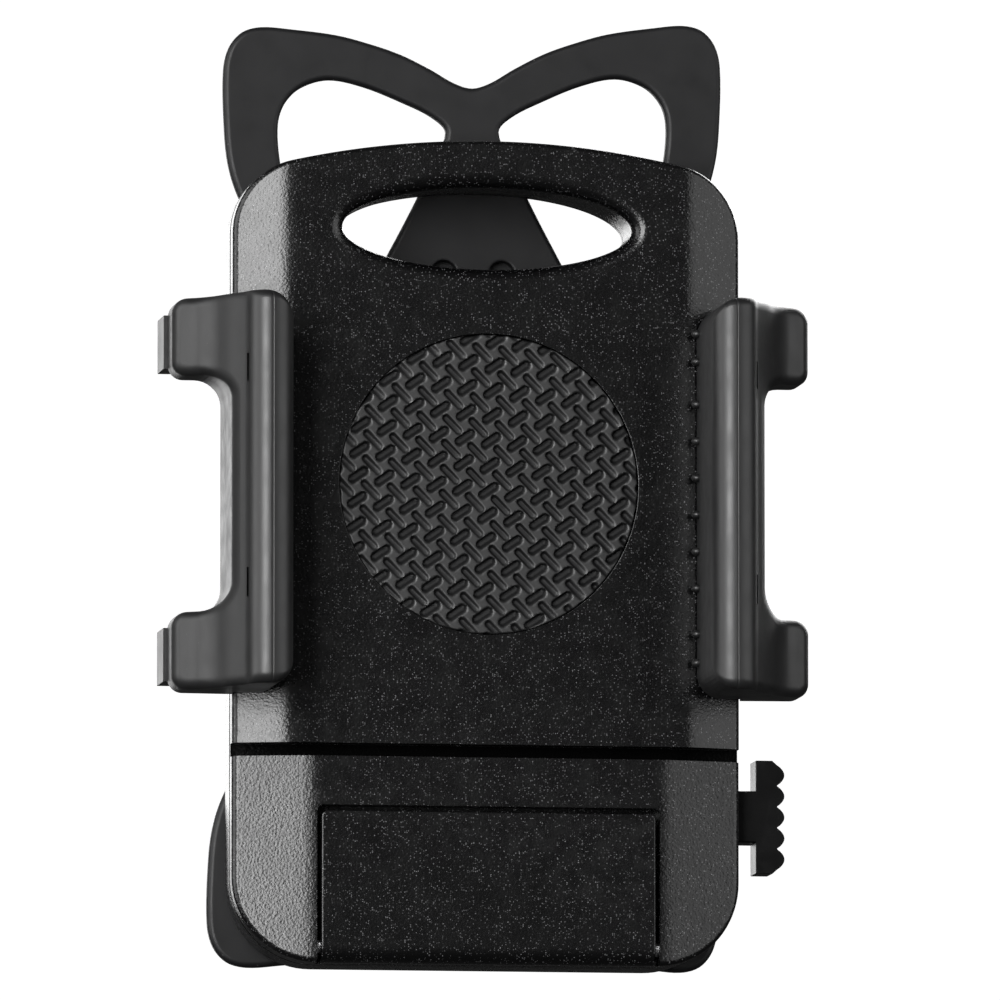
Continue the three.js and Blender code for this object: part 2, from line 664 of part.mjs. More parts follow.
// [x, z] opening in the upper right wing
const BAND_OPENING = [
  [3.5, 47.9], [5.4, 43.4], [7.7, 38.4], [11.9, 30.4], [14.0, 26.8], [16.2, 26.0],
  [18.6, 28.4], [21.6, 33.6], [24.3, 39.0], [25.4, 44.0], [25.7, 49.0], [24.8, 51.8],
  [22.6, 53.9], [19.0, 54.9], [14.5, 54.0], [9.5, 52.0], [5.3, 49.9],
];

// The upper half is slightly skewed, rising to the right.
const upperPoint = (x, z) => [x, z > 20 ? z + 0.022 * x * Math.min(1, (z - 20) / 25) : z];
// The lower half is flipped down, wider on the left and narrower on the right.
function lowerPoint(x, z) {
  const stretch = x < 0 ? 1.06 : 0.985;
  return [x * (z > 30 ? stretch : 1), -z - 0.3];
}

function siliconeBand() {
  const throughY = [10, 20];
  const upper = (points, side) => points.map(([x, z]) => upperPoint(side * x, z));
  const lower = (points, side) => points.map(([x, z]) => lowerPoint(side * x, z));
  const edge = (points, side) => [
    ...upper(points, side), [side * WAIST_X, 0], ...lower(points, side).reverse(),
  ];
  // the left side runs back up and leaves out the shared centre points
  const outline = [...edge(BAND_EDGE, 1), ...edge(BAND_EDGE.slice(1), -1).reverse()];
  const holes = [-1, 1].flatMap((side) => [
    prismY(upper(BAND_OPENING, side), throughY),
    prismY(lower(BAND_OPENING, side), throughY),
    // blind hole in the front face
    cylY(side * 3.83, 29.2, 1.65, [10, BAND_Y[1] - 0.6], 12),
  ]);
  return cut(prismY(outline, BAND_Y),
    ...holes,
    cylY(0, JAW_Z, 13.6, throughY, 28),
    ...cylindersAt(SOCKET_SCREWS, 2.1, throughY, 10));
}
put('silicone_band', siliconeBand(), silicone);

// ================================================================ ball joint
// [radius, y] points on a sphere about the ball centre; 90 degrees points to +Y
const ballArc = (radius, from, to, steps) => arc(0, BALL_Y, radius, from, to, steps);

// boss through the band, square flange behind it and hemispherical seat
function ballSocket() {
  const cup = cylinderProfile(13.1, [14.3, 27.2]);
  const flange = prismY(roundRect(span(16.6), span(16.6, JAW_Z), 4.5), [16.8, 19.2]);
  const seatR = 9.88;
  const seat = [...ballArc(seatR, -90, 0, 7), [seatR, 40], [0, 40]];
  return cut(
    join(turnY(cup, 0, JAW_Z, 28), flange),
    turnY(seat, 0, JAW_Z, 28),
    ...cylindersAt(SOCKET_SCREWS, SCREW_HOLE_R, [10, 30], 12));
}

function cylinderProfile(radius, [y0, y1]) {
  return [[0, y0], [radius, y0], [radius, y1], [0, y1]];
}

// [radius, y]
const SOCKET_SCREW_PROFILE = [
  [0, 10.9], [0.9, 10.9], [1.2, 11.3], [1.2, 19.5], [2.3, 19.5], [2.3, 20.4], [1.6, 21.0],
  [0, 21.0],
];

// spherical liner, open at both ends
function ballLiner() {
  const outside = ballArc(9.62, -48, 38, 6);
  return turnY([...outside, ...ballArc(8.8, 38, -48, 6), outside[0]], 0, JAW_Z, 28);
}

// collar with finger scallops round its rim
function lockingCollar() {
  const profile = [
    [13.5, 21.6], [16.4, 21.6], [16.9, 22.1], [16.9, 33.6], [15.8, 34.8], [10.6, 34.8],
    [8.4, 31.95], ...ballArc(9.95, 32, 5, 4), [13.5, 27.66], [13.5, 21.6],
  ];
  const scallops = arc(0, JAW_Z, 18.3, 0, 360, 12).slice(0, -1);
  return cut(turnY(profile, 0, JAW_Z, 28), ...cylindersAt(scallops, 2.3, [23.4, 40], 10));
}

function ballStem() {
  const profile = [
    ...ballArc(BALL_R, -90, 58, 9), [4.4, BALL_Y + BALL_R], [4.4, 38.4], [7.6, 41.2],
    [7.6, 43.0], [4.5, 43.0], [4.5, 47.8], [0, 47.8],
  ];
  return cut(turnY(profile, 0, JAW_Z, 26), cylY(0, JAW_Z, 1.9, [39, 50], 14));
}

const stemWasher = () => cut(
  cylY(0, JAW_Z, 5.6, [48.3, 49.1], 20),
  cylY(0, JAW_Z, 2.0, [47, 50], 14));

// screw with a hexagonal recess in its head
function stemScrew() {
  const profile = [
    [0, 39.6], [1.3, 39.6], [1.6, 40.0], [1.6, 49.4], [3.3, 49.4], [3.3, 51.0], [2.9, 51.2],
    [0, 51.2],
  ];
  return cut(turnY(profile, 0, JAW_Z, 16), cylY(0, JAW_Z, 1.5, [50, 52.4], 6));
}

put('ball_socket', ballSocket(), blackPlastic);
SOCKET_SCREWS.forEach((place, i) => {
  const screw = crossScrew(SOCKET_SCREW_PROFILE, place, 1.2, [20.3, 22]);
  put(`socket_screw_${i + 1}`, screw, darkSteel);
});
put('ball_liner', ballLiner(), acetal);
put('locking_collar', lockingCollar(), blackPlastic);
put('ball_stem', ballStem(), aluminium);
put('stem_washer', stemWasher(), steel);
put('stem_screw', stemScrew(), darkSteel);

// ================================================================ handlebar clamp
// saddle above the bar: a flat with a slope falling away on each side
const SADDLE_Z = 18.4;
const SADDLE_SLOPE = 0.7;
const SADDLE_RUN = 10.7;
const [FLAT_Y0, FLAT_Y1] = span(4, BAR_Y);
const TIP_Z = -16.6;            // centre of the clamp screw's ball tip

function clampFrame() {
  const slopeZ = SADDLE_Z - SADDLE_SLOPE * SADDLE_RUN;
  const innerY = FLAT_Y0 - SADDLE_RUN;
  // [y, z], a C open to the rear
  const section = [
    [43.3, -31.0], [45.3, -33.0], [74.5, -33.0], [76.5, -31.0], [76.5, -26.6], [53.6, -26.6],
    [innerY, -24.3], [innerY, slopeZ], [FLAT_Y0, SADDLE_Z], [FLAT_Y1, SADDLE_Z],
    [FLAT_Y1 + SADDLE_RUN, slopeZ], [83, slopeZ + 0.5], [83, 22.0], [80.5, 24.5],
    [45.8, 24.5], [43.3, 22.0],
  ];
  return cut(prismX(section, span(CLAMP_HALF), 0.8),
    // bore and counterbore for the ball stem, hole for the thread insert
    cylY(0, JAW_Z, 4.75, [40, 50], 28),
    cylY(0, JAW_Z, 6.2, [48.0, 60], 28),
    clampCylinder(5.0, [-40, -20], 28));
}

function saddleLiner() {
  const thickness = 1.6;
  const run = 8.8;
  const flatZ = SADDLE_Z - 0.3 - thickness;
  const lower = [
    [FLAT_Y0 - run, flatZ - SADDLE_SLOPE * run], [FLAT_Y0, flatZ],
    [FLAT_Y1, flatZ], [FLAT_Y1 + run, flatZ - SADDLE_SLOPE * run],
  ];
  const upper = lower.map(([y, z]) => [y, z + thickness]).reverse();
  return prismX([...lower, ...upper], span(10.4));
}

const threadInsert = () => cut(
  join(clampCylinder(4.7, [-32.6, -25.4], 20), clampCylinder(6.4, [-26.3, -25.2], 20)),
  clampCylinder(3.25, [-40, -20], 20));

const PAD_TOP = -13.9;
function pressurePad() {
  const bottom = -17.9;
  const [y0, y1] = span(8.8, BAR_Y);
  const section = [
    [y0, bottom + 0.8], [y0 + 1, bottom], [y1 - 1, bottom], [y1, bottom + 0.8],
    [y1, PAD_TOP], [y0, PAD_TOP],
  ];
  const socket = new THREE.SphereGeometry(2.5, 16, 10)
    .rotateX(Math.PI / 2).translate(0, BAR_Y, TIP_Z);
  return cut(prismX(section, span(9.4)), solid(socket));
}
const padLiner = () => box(span(9.2), span(8.6, BAR_Y), [PAD_TOP + 0.3, PAD_TOP + 1.7]);

// screw with a ball tip, turned about the vertical axis
function clampScrew() {
  // [radius, z]
  const profile = [
    [0, -47.4], [2.6, -47.4], [3.0, -47.0], [3.0, -20.2], [1.5, -19.4],
    ...arc(0, TIP_Z, 2.2, -47, 90, 6),
  ];
  const geometry = new THREE.LatheGeometry(vectors(profile), 20);
  return solid(geometry.rotateX(Math.PI / 2).translate(0, BAR_Y, 0));
}

// six-lobed knob
function clampKnob() {
  const outline = [];
  for (let i = 0; i < 42; i++) {
    const angle = i / 42 * 2 * Math.PI;
    const radius = 9.2 + 1.1 * Math.cos(6 * angle);
    outline.push([radius * Math.cos(angle), radius * Math.sin(angle) + BAR_Y]);
  }
  return cut(
    join(prismZ(outline, [-50, -41.8], 0.9), clampCylinder(5.6, [-43.0, -42.0], 28)),
    clampCylinder(3.3, [-47.8, -30], 28));
}

put('clamp_frame', clampFrame(), aluminium);
put('saddle_liner', saddleLiner(), rubber);
put('thread_insert', threadInsert(), brass);
put('pressure_pad', pressurePad(), aluminium);
put('pad_liner', padLiner(), rubber);
put('clamp_screw', clampScrew(), steel);
put('clamp_knob', clampKnob(), blackPlastic);

export default group;
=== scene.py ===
"""Phone holder: a cradle with two sliding jaws, a ball joint behind it and a handlebar clamp.

The holder stands upright. X runs to the right, Y from the front face of the cradle (y = 0)
back to the handlebar (y = 66), and Z up. Pieces are modelled in millimetres and turned to
metres when they are finished; lights, camera and paper are in metres.
"""
import json
import math
from contextlib import contextmanager

import bmesh
import bpy
import numpy as np
from mathutils import Matrix, Vector

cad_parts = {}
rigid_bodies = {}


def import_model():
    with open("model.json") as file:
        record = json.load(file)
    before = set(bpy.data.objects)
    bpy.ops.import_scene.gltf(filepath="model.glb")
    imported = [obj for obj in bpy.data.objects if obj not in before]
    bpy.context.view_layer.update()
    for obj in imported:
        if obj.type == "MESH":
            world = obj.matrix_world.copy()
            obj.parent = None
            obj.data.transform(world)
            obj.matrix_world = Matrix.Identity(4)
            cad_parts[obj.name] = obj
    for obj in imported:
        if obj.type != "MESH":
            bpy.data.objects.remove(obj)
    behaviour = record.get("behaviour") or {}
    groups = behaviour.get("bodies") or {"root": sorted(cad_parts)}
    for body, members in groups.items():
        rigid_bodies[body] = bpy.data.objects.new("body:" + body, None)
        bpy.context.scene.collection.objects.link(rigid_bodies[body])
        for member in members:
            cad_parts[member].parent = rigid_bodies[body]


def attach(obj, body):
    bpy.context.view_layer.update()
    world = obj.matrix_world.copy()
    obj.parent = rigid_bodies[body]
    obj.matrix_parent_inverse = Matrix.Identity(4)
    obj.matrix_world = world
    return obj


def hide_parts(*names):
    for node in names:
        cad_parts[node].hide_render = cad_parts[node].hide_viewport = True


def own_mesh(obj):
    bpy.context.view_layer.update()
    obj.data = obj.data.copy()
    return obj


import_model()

for default_name in ("Cube", "Light", "Camera"):
    if default_name in bpy.data.objects:
        bpy.data.objects.remove(bpy.data.objects[default_name])

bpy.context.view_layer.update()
DEGREE = math.pi / 180
QUARTER = math.pi / 2

# =============================================================================
# 1. Driving dimensions (mm)
# =============================================================================
# Cradle body, seen from the front
BODY_HALF_WIDTH = 33.3
BODY_TOP, BODY_BOTTOM = 45.0, -62.6
CROWN_RADIUS, CORNER_RADIUS, FOOT_RADIUS = 115.0, 9.6, 11.2
# Beyond this |x| the front face bends back, by the fall reached at the side of the body
UPPER_BEND_X, UPPER_FALL = 26.4, 2.1
LOWER_BEND_X, LOWER_FALL = 22.9, 2.4
# Groove across the front face
GROOVE_BOTTOM, GROOVE_TOP = -35.7, -34.0
GROOVE_MID = (GROOVE_BOTTOM + GROOVE_TOP) / 2
# Oval window above the round pad
OVAL_Z, OVAL_HALF_WIDTH, OVAL_HALF_HEIGHT = 33.6, 19.0, 5.33
PAD_RADIUS = 19.5
# Fold-out ledge, its notch in the front cover and its hinge barrel
LEDGE_HALF_WIDTH, LEDGE_TOP, LEDGE_THICKNESS = 21.9, -42.75, 2.7
NOTCH_HALF_WIDTH, NOTCH_TOP = LEDGE_HALF_WIDTH + 0.6, LEDGE_TOP + 0.7
HINGE_Y, HINGE_Z, HINGE_RADIUS = 2.3, -60.3, 2.3
# Jaws and the rails they slide on
RAIL_LEVELS = UPPER_RAIL, LOWER_RAIL = 18.2, -22.6
RAIL_HEIGHT = 7.0
TAB_END = 41.8
JAW_TOP, JAW_BOTTOM = 23.4, -27.7
UPPER_TAB, LOWER_TAB = (13.2, 23.3), (-27.5, -17.5)
BUTTON_Z = -42.5
# Screws of the case (x, z), and the ball joint with its four screws
CASE_SCREWS = [(-27.2, 33.2), (27.2, 33.2), (-27.0, -54.2), (27.0, -54.2)]
JOINT_Z = -2.2
SCREW_OFFSET = 12.5
SOCKET_SCREWS = [(a * SCREW_OFFSET, JOINT_Z + b * SCREW_OFFSET) for a in (-1, 1) for b in (-1, 1)]
BALL_Y, BALL_RADIUS = 26.8, 8.6
# Silicone band, front and back faces
BAND_FRONT, BAND_BACK = 14.3, 16.5
# Handlebar clamp
BAR_Y = 66.0
CLAMP_HALF_WIDTH = 11.0
SADDLE_Z, SADDLE_SLOPE = 18.4, 0.7
SPINDLE_TIP_Z = -16.6

# =============================================================================
# 2. Mesh helpers
# =============================================================================
scene = bpy.context.scene
workshop = bpy.data.collections.new("tmp_ops")
scene.collection.children.link(workshop)


def work_object(mesh):
    o = bpy.data.objects.new("tmp", mesh)
    workshop.objects.link(o)
    return o


def new_obj(bm):
    bmesh.ops.recalc_face_normals(bm, faces=bm.faces)
    mesh = bpy.data.meshes.new("tmp")
    bm.to_mesh(mesh)
    bm.free()
    return work_object(mesh)


@contextmanager
def editing(mesh):
    bm = bmesh.new()
    bm.from_mesh(mesh)
    yield bm
    bm.to_mesh(mesh)
    bm.free()


def place(axis, u, v, along):
    """The point at (u, v) in the plane across the axis, and at `along` on the axis."""
    if axis == "Y":
        return (u, along, v)
    if axis == "X":
        return (along, u, v)
    return (u, v, along)


def loft(rings):
    """Skin over equally long rings of xyz points, capped at both ends."""
    bm = bmesh.new()
    loops = [[bm.verts.new(p) for p in ring] for ring in rings]
    n = len(rings[0])
    for a, b in zip(loops, loops[1:]):
        for i in range(n):
            j = (i + 1) % n
            bm.faces.new((a[i], a[j], b[j], b[i]))
    bm.faces.new(loops[0][::-1])
    bm.faces.new(loops[-1])
    return new_obj(bm)


def prism(points, axis, start, end):
    bm = bmesh.new()
    low = [bm.verts.new(place(axis, u, v, start)) for u, v in points]
    high = [bm.verts.new(place(axis, u, v, end)) for u, v in points]
    bm.faces.new(low[::-1])
    bm.faces.new(high)
    n = len(points)
    for i in range(n):
        j = (i + 1) % n
        bm.faces.new((low[i], low[j], high[j], high[i]))
    return new_obj(bm)


def lathe(profile, axis, u, v, sides=72):
    """Turn (radius, height) points about the line through (u, v) along the axis. A profile
    that doesn't touch the line at either end closes on itself."""
    bm = bmesh.new()
    rings = []
    for radius, height in profile:
        if radius < 1e-6:
            rings.append([bm.verts.new(place(axis, u, v, height))])
            continue
        turns = [2 * math.pi * i / sides for i in range(sides)]
        rings.append([bm.verts.new(place(axis, u + radius * math.cos(t),
                                         v + radius * math.sin(t), height)) for t in turns])
    pairs = list(zip(rings, rings[1:]))
    if profile[0][0] > 1e-6 and profile[-1][0] > 1e-6:
        pairs.append((rings[-1], rings[0]))
    for a, b in pairs:
        for i in range(sides):
            j = (i + 1) % sides
            if len(a) == 1:
                bm.faces.new((a[0], b[j], b[i]))
            elif len(b) == 1:
                bm.faces.new((a[i], a[j], b[0]))
            else:
                bm.faces.new((a[i], a[j], b[j], b[i]))
    return new_obj(bm)


def cylinder(axis, u, v, radius, start, end, sides=48):
    return lathe([(0, start), (radius, start), (radius, end), (0, end)], axis, u, v, sides)


def box(x0, x1, y0, y1, z0, z1):
    return prism([(x0, y0), (x1, y0), (x1, y1), (x0, y1)], "Z", z0, z1)


def ball(centre, radius, around, rings, stretch=(1, 1, 1)):
    bm = bmesh.new()
    bmesh.ops.create_uvsphere(bm, u_segments=around, v_segments=rings, radius=radius)
    o = new_obj(bm)
    o.data.transform(Matrix.Diagonal((*stretch, 1)))
    o.data.transform(Matrix.Translation(centre))
    return o


def arc(cx, cy, radius, start, end, steps):
    angles = [(start + (end - start) * i / steps) * DEGREE for i in range(steps + 1)]
    return [(cx + radius * math.cos(t), cy + radius * math.sin(t)) for t in angles]


def round_rect(x0, x1, z0, z1, r, steps=8):
    return (arc(x1 - r, z0 + r, r, -90, 0, steps) + arc(x1 - r, z1 - r, r, 0, 90, steps)
            + arc(x0 + r, z1 - r, r, 90, 180, steps) + arc(x0 + r, z0 + r, r, 180, 270, steps))


def fillet_outline(corners, steps):
    """Closed polygon of (u, v, radius) corners, each rounded by its own radius."""
    out = []
    for i, (u, v, radius) in enumerate(corners):
        corner = Vector((u, v))
        to_last = (Vector(corners[i - 1][:2]) - corner).normalized()
        to_next = (Vector(corners[(i + 1) % len(corners)][:2]) - corner).normalized()
        angle = math.acos(to_last.dot(to_next))
        setback = radius / math.tan(angle / 2)
        a, b = corner + to_last * setback, corner + to_next * setback
        c = corner + (to_last + to_next).normalized() * (radius / math.sin(angle / 2))
        start = math.atan2(a.y - c.y, a.x - c.x)
        end = math.atan2(b.y - c.y, b.x - c.x)
        sweep_angle = (end - start + math.pi) % (2 * math.pi) - math.pi
        for k in range(steps + 1):
            t = start + sweep_angle * k / steps
            out.append((c.x + radius * math.cos(t), c.y + radius * math.sin(t)))
    return out


def smooth_closed(points, steps):
    """Closed curve through the points, its tangents weighted by the spacing of the points."""
    P = np.array(points, float)
    n = len(P)
    out = []
    for i in range(n):
        p0, p1, p2, p3 = P[(i - 1) % n], P[i], P[(i + 1) % n], P[(i + 2) % n]
        span = np.linalg.norm(p2 - p1)
        m1 = (p2 - p0) / (np.linalg.norm(p1 - p0) + span) * span
        m2 = (p3 - p1) / (np.linalg.norm(p3 - p2) + span) * span
        for k in range(steps):
            t = k / steps
            h = ((2 * t**3 - 3 * t**2 + 1) * p1 + (t**3 - 2 * t**2 + t) * m1
                 + (-2 * t**3 + 3 * t**2) * p2 + (t**3 - t**2) * m2)
            out.append((float(h[0]), float(h[1])))
    return out


def smooth_open(points, steps):
    """Catmull-Rom curve through the points, from the first to the last."""
    P = [np.array(p, float) for p in points]
    P = [2 * P[0] - P[1]] + P + [2 * P[-1] - P[-2]]
    out = []
    for p0, p1, p2, p3 in zip(P, P[1:], P[2:], P[3:]):
        for k in range(steps):
            t = k / steps
            out.append(0.5 * ((2 * p1) + (-p0 + p2) * t + (2 * p0 - 5 * p1 + 4 * p2 - p3) * t * t
                              + (-p0 + 3 * p1 - 3 * p2 + p3) * t**3))
    out.append(P[-2])
    return out


def counterclockwise(points):
    area = sum(a[0] * b[1] - b[0] * a[1] for a, b in zip(points, points[1:] + points[:1]))
    return points[::-1] if area < 0 else points


def drop(o):
    mesh = o.data
    bpy.data.objects.remove(o)
    if mesh.users == 0:
        bpy.data.meshes.remove(mesh)


def boolean(o, others, operation):
    """Apply the operation with each of the others in turn, and use them up."""
    for other in others:
        m = o.modifiers.new("b", "BOOLEAN")
        m.operation, m.solver, m.object = operation, "EXACT", other
    bpy.context.view_layer.update()
    graph = bpy.context.evaluated_depsgraph_get()
    mesh = bpy.data.meshes.new_from_object(o.evaluated_get(graph), depsgraph=graph)
    o.modifiers.clear()
    old = o.data
    o.data = mesh
    bpy.data.meshes.remove(old)
    for other in others:
        drop(other)
    return o


def cut(o, *others):
    return boolean(o, others, "DIFFERENCE")


def join(o, *others):
    return boolean(o, others, "UNION")


def intersect(o, *others):
    return boolean(o, others, "INTERSECT")


def merge(o, other):
    """Put two closed shells into one mesh without a boolean."""
    with editing(o.data) as bm:
        bm.from_mesh(other.data)
    drop(other)


def mirrored_x(o):
    mesh = o.data.copy()
    mesh.transform(Matrix.Scale(-1, 4, Vector((1, 0, 0))))
    mesh.flip_normals()
    return work_object(mesh)


def bevel(o, width, segments=3, angle=30, pick=None):
    """Bevel the edges sharper than the angle that pick(middle, edge) accepts."""
    with editing(o.data) as bm:
        bmesh.ops.remove_doubles(bm, verts=bm.verts, dist=1e-4)
        bmesh.ops.dissolve_degenerate(bm, dist=1e-4, edges=bm.edges)
        chosen = []
        for e in bm.edges:
            if len(e.link_faces) == 2 and e.calc_face_angle(0) > angle * DEGREE:
                middle = (e.verts[0].co + e.verts[1].co) / 2
                if pick is None or pick(middle, e):
                    chosen.append(e)
        if chosen:
            bmesh.ops.bevel(bm, geom=chosen, offset=width, offset_type="OFFSET",
                            segments=segments, profile=0.5, clamp_overlap=True,
                            affect="EDGES")


def slice_planes(o, axis, values):
    """Add edge loops where the planes across the axis meet the mesh."""
    normal = Vector((axis == "X", axis == "Y", axis == "Z"))
    with editing(o.data) as bm:
        for value in values:
            bmesh.ops.bisect_plane(bm, geom=bm.verts[:] + bm.edges[:] + bm.faces[:],
                                   plane_co=normal * value, plane_no=normal, dist=1e-5)


def displace(o, change):
    """Let change(co) move the vertices, given as an array of xyz rows, in place."""
    vertices = o.data.vertices
    co = np.empty(len(vertices) * 3)
    vertices.foreach_get("co", co)
    change(co.reshape(-1, 3))
    vertices.foreach_set("co", co)
    o.data.update()


def rounded_prism(ring_at, front, back, front_radius, back_radius, front_steps, back_steps):
    """Prism along Y with quarter-round edges; ring_at(inset) gives its outline."""
    rings = []
    for k in range(front_steps, -1, -1):
        t = QUARTER * k / front_steps
        y = front + front_radius * (1 - math.sin(t))
        rings.append([(x, y, z) for x, z in ring_at(front_radius * (1 - math.cos(t)))])
    for k in range(back_steps + 1):
        t = QUARTER * k / back_steps
        y = back - back_radius * (1 - math.sin(t))
        rings.append([(x, y, z) for x, z in ring_at(back_radius * (1 - math.cos(t)))])
    return loft(rings)


def find_node(name):
    for o in bpy.data.objects:
        if o.type == "MESH" and (o.name == name or o.name.split(".")[0] == name):
            return o
    raise KeyError(name)


def cad_copy(name, dissolve=True):
    """The exact solid of one CAD node as a working mesh in millimetres."""
    source = find_node(name)
    mesh = source.data.copy()
    mesh.transform(source.matrix_world)
    mesh.transform(Matrix.Scale(1000, 4))
    bm = bmesh.new()
    bm.from_mesh(mesh)
    bpy.data.meshes.remove(mesh)
    bmesh.ops.remove_doubles(bm, verts=bm.verts, dist=2e-4)
    bmesh.ops.dissolve_degenerate(bm, dist=1e-5, edges=bm.edges)
    if dissolve:
        bmesh.ops.dissolve_limit(bm, angle_limit=0.5 * DEGREE, verts=bm.verts, edges=bm.edges)
    return new_obj(bm)


def finish_piece(o, name, body, material, replaced, smooth, weighted=True):
    mesh = o.data
    mesh.transform(Matrix.Scale(0.001, 4))
    with editing(mesh) as bm:
        bmesh.ops.remove_doubles(bm, verts=bm.verts, dist=2e-7)
        for f in bm.faces:
            f.smooth = True
        for e in bm.edges:
            sharp = len(e.link_faces) == 2 and e.calc_face_angle(0) > smooth * DEGREE
            e.smooth = not sharp
    workshop.objects.unlink(o)
    scene.collection.objects.link(o)
    o.name = name
    mesh.name = name
    mesh.materials.clear()
    mesh.materials.append(MATERIALS[material])
    if weighted:
        modifier = o.modifiers.new("normals", "WEIGHTED_NORMAL")
        modifier.keep_sharp = True
        modifier.weight = 80
    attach(o, body)
    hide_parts(replaced)
    return o


# =============================================================================
# 3. Materials, all procedural
# =============================================================================
# Sockets of the Mix node that carry colours
MIX_A, MIX_B, MIX_RESULT = 6, 7, 2


def tint(base, factor, lift=0.0):
    return tuple(min(1, c * factor + lift) for c in base)


def rgba(colour):
    return (*colour, 1) if isinstance(colour, tuple) else (colour, colour, colour, 1)


class Shader:
    """A material around one Principled surface. The methods that add texture or arithmetic
    return output sockets. Texture scales are in features per mm."""

    def __init__(self, name):
        self.material = bpy.data.materials.new(name)
        self.material.use_nodes = True
        self.tree = self.material.node_tree
        self.tree.nodes.clear()
        output = self.node("ShaderNodeOutputMaterial")
        self.surface = self.node("ShaderNodeBsdfPrincipled")
        self.put(self.surface.outputs["BSDF"], output.inputs["Surface"])
        self.place = self.node("ShaderNodeTexCoord").outputs["Object"]

    def node(self, kind, **settings):
        node = self.tree.nodes.new(kind)
        for key, value in settings.items():
            setattr(node, key, value)
        return node

    def put(self, source, target):
        """Link a socket, or set a value or colour."""
        if isinstance(source, bpy.types.NodeSocket):
            self.tree.links.new(source, target)
        else:
            target.default_value = rgba(source) if target.type == "RGBA" else source

    def feed(self, name, source):
        self.put(source, self.surface.inputs[name])

    def noise(self, per_mm, detail, roughness=0.55, stretch=None):
        node = self.node("ShaderNodeTexNoise")
        node.inputs["Scale"].default_value = per_mm * 1000
        node.inputs["Detail"].default_value = detail
        node.inputs["Roughness"].default_value = roughness
        vector = self.place
        if stretch:
            mapping = self.node("ShaderNodeMapping")
            mapping.inputs["Scale"].default_value = stretch
            self.put(vector, mapping.inputs["Vector"])
            vector = mapping.outputs["Vector"]
        self.put(vector, node.inputs["Vector"])
        return node.outputs["Fac"]

    def voronoi(self, per_mm):
        """The cell node itself: it has a Distance and a Color output."""
        node = self.node("ShaderNodeTexVoronoi")
        node.inputs["Scale"].default_value = per_mm * 1000
        self.put(self.place, node.inputs["Vector"])
        return node

    def separate(self, kind, input_name, source):
        node = self.node(kind)
        self.put(source, node.inputs[input_name])
        return node.outputs

    def ramp(self, source, start, end):
        """Linear ramp between two (position, colour or grey) stops."""
        node = self.node("ShaderNodeValToRGB")
        for element, (position, colour) in zip(node.color_ramp.elements, (start, end)):
            element.position = position
            element.color = rgba(colour)
        self.put(source, node.inputs["Fac"])
        return node.outputs["Color"]

    def patches(self, per_mm, detail, start, end):
        return self.ramp(self.noise(per_mm, detail), start, end)

    def edges(self, start, end):
        """Mask of convex edges, rising between two values of pointiness."""
        pointiness = self.node("ShaderNodeNewGeometry").outputs["Pointiness"]
        return self.ramp(pointiness, start=(start, 0.0), end=(end, 1.0))

    def flecks(self, per_mm, core, rim, channel, share):
        """Mask of dots fading from core to rim, in the cells that the share range picks."""
        cells = self.voronoi(per_mm)
        dot = self.ramp(cells.outputs["Distance"], start=(core, 1.0), end=(rim, 0.0))
        chance = self.separate("ShaderNodeSeparateColor", "Color", cells.outputs["Color"])
        picked = self.ramp(chance[channel], start=(share[0], 0.0), end=(share[1], 1.0))
        return self.times(dot, picked)

    def math(self, operation, a, b=None):
        node = self.node("ShaderNodeMath", operation=operation)
        self.put(a, node.inputs[0])
        if b is not None:
            self.put(b, node.inputs[1])
        return node.outputs[0]

    def times(self, a, b):
        return self.math("MULTIPLY", a, b)

    def mix(self, factor, a, b):
        node = self.node("ShaderNodeMix", data_type="RGBA")
        self.put(factor, node.inputs["Factor"])
        self.put(a, node.inputs[MIX_A])
        self.put(b, node.inputs[MIX_B])
        return node.outputs[MIX_RESULT]

    def bump(self, height, strength, depth_mm, under=None):
        node = self.node("ShaderNodeBump")
        node.inputs["Strength"].default_value = strength
        node.inputs["Distance"].default_value = depth_mm * 0.001
        self.put(height, node.inputs["Height"])
        if under is not None:
            self.put(under, node.inputs["Normal"])
        return node.outputs["Normal"]


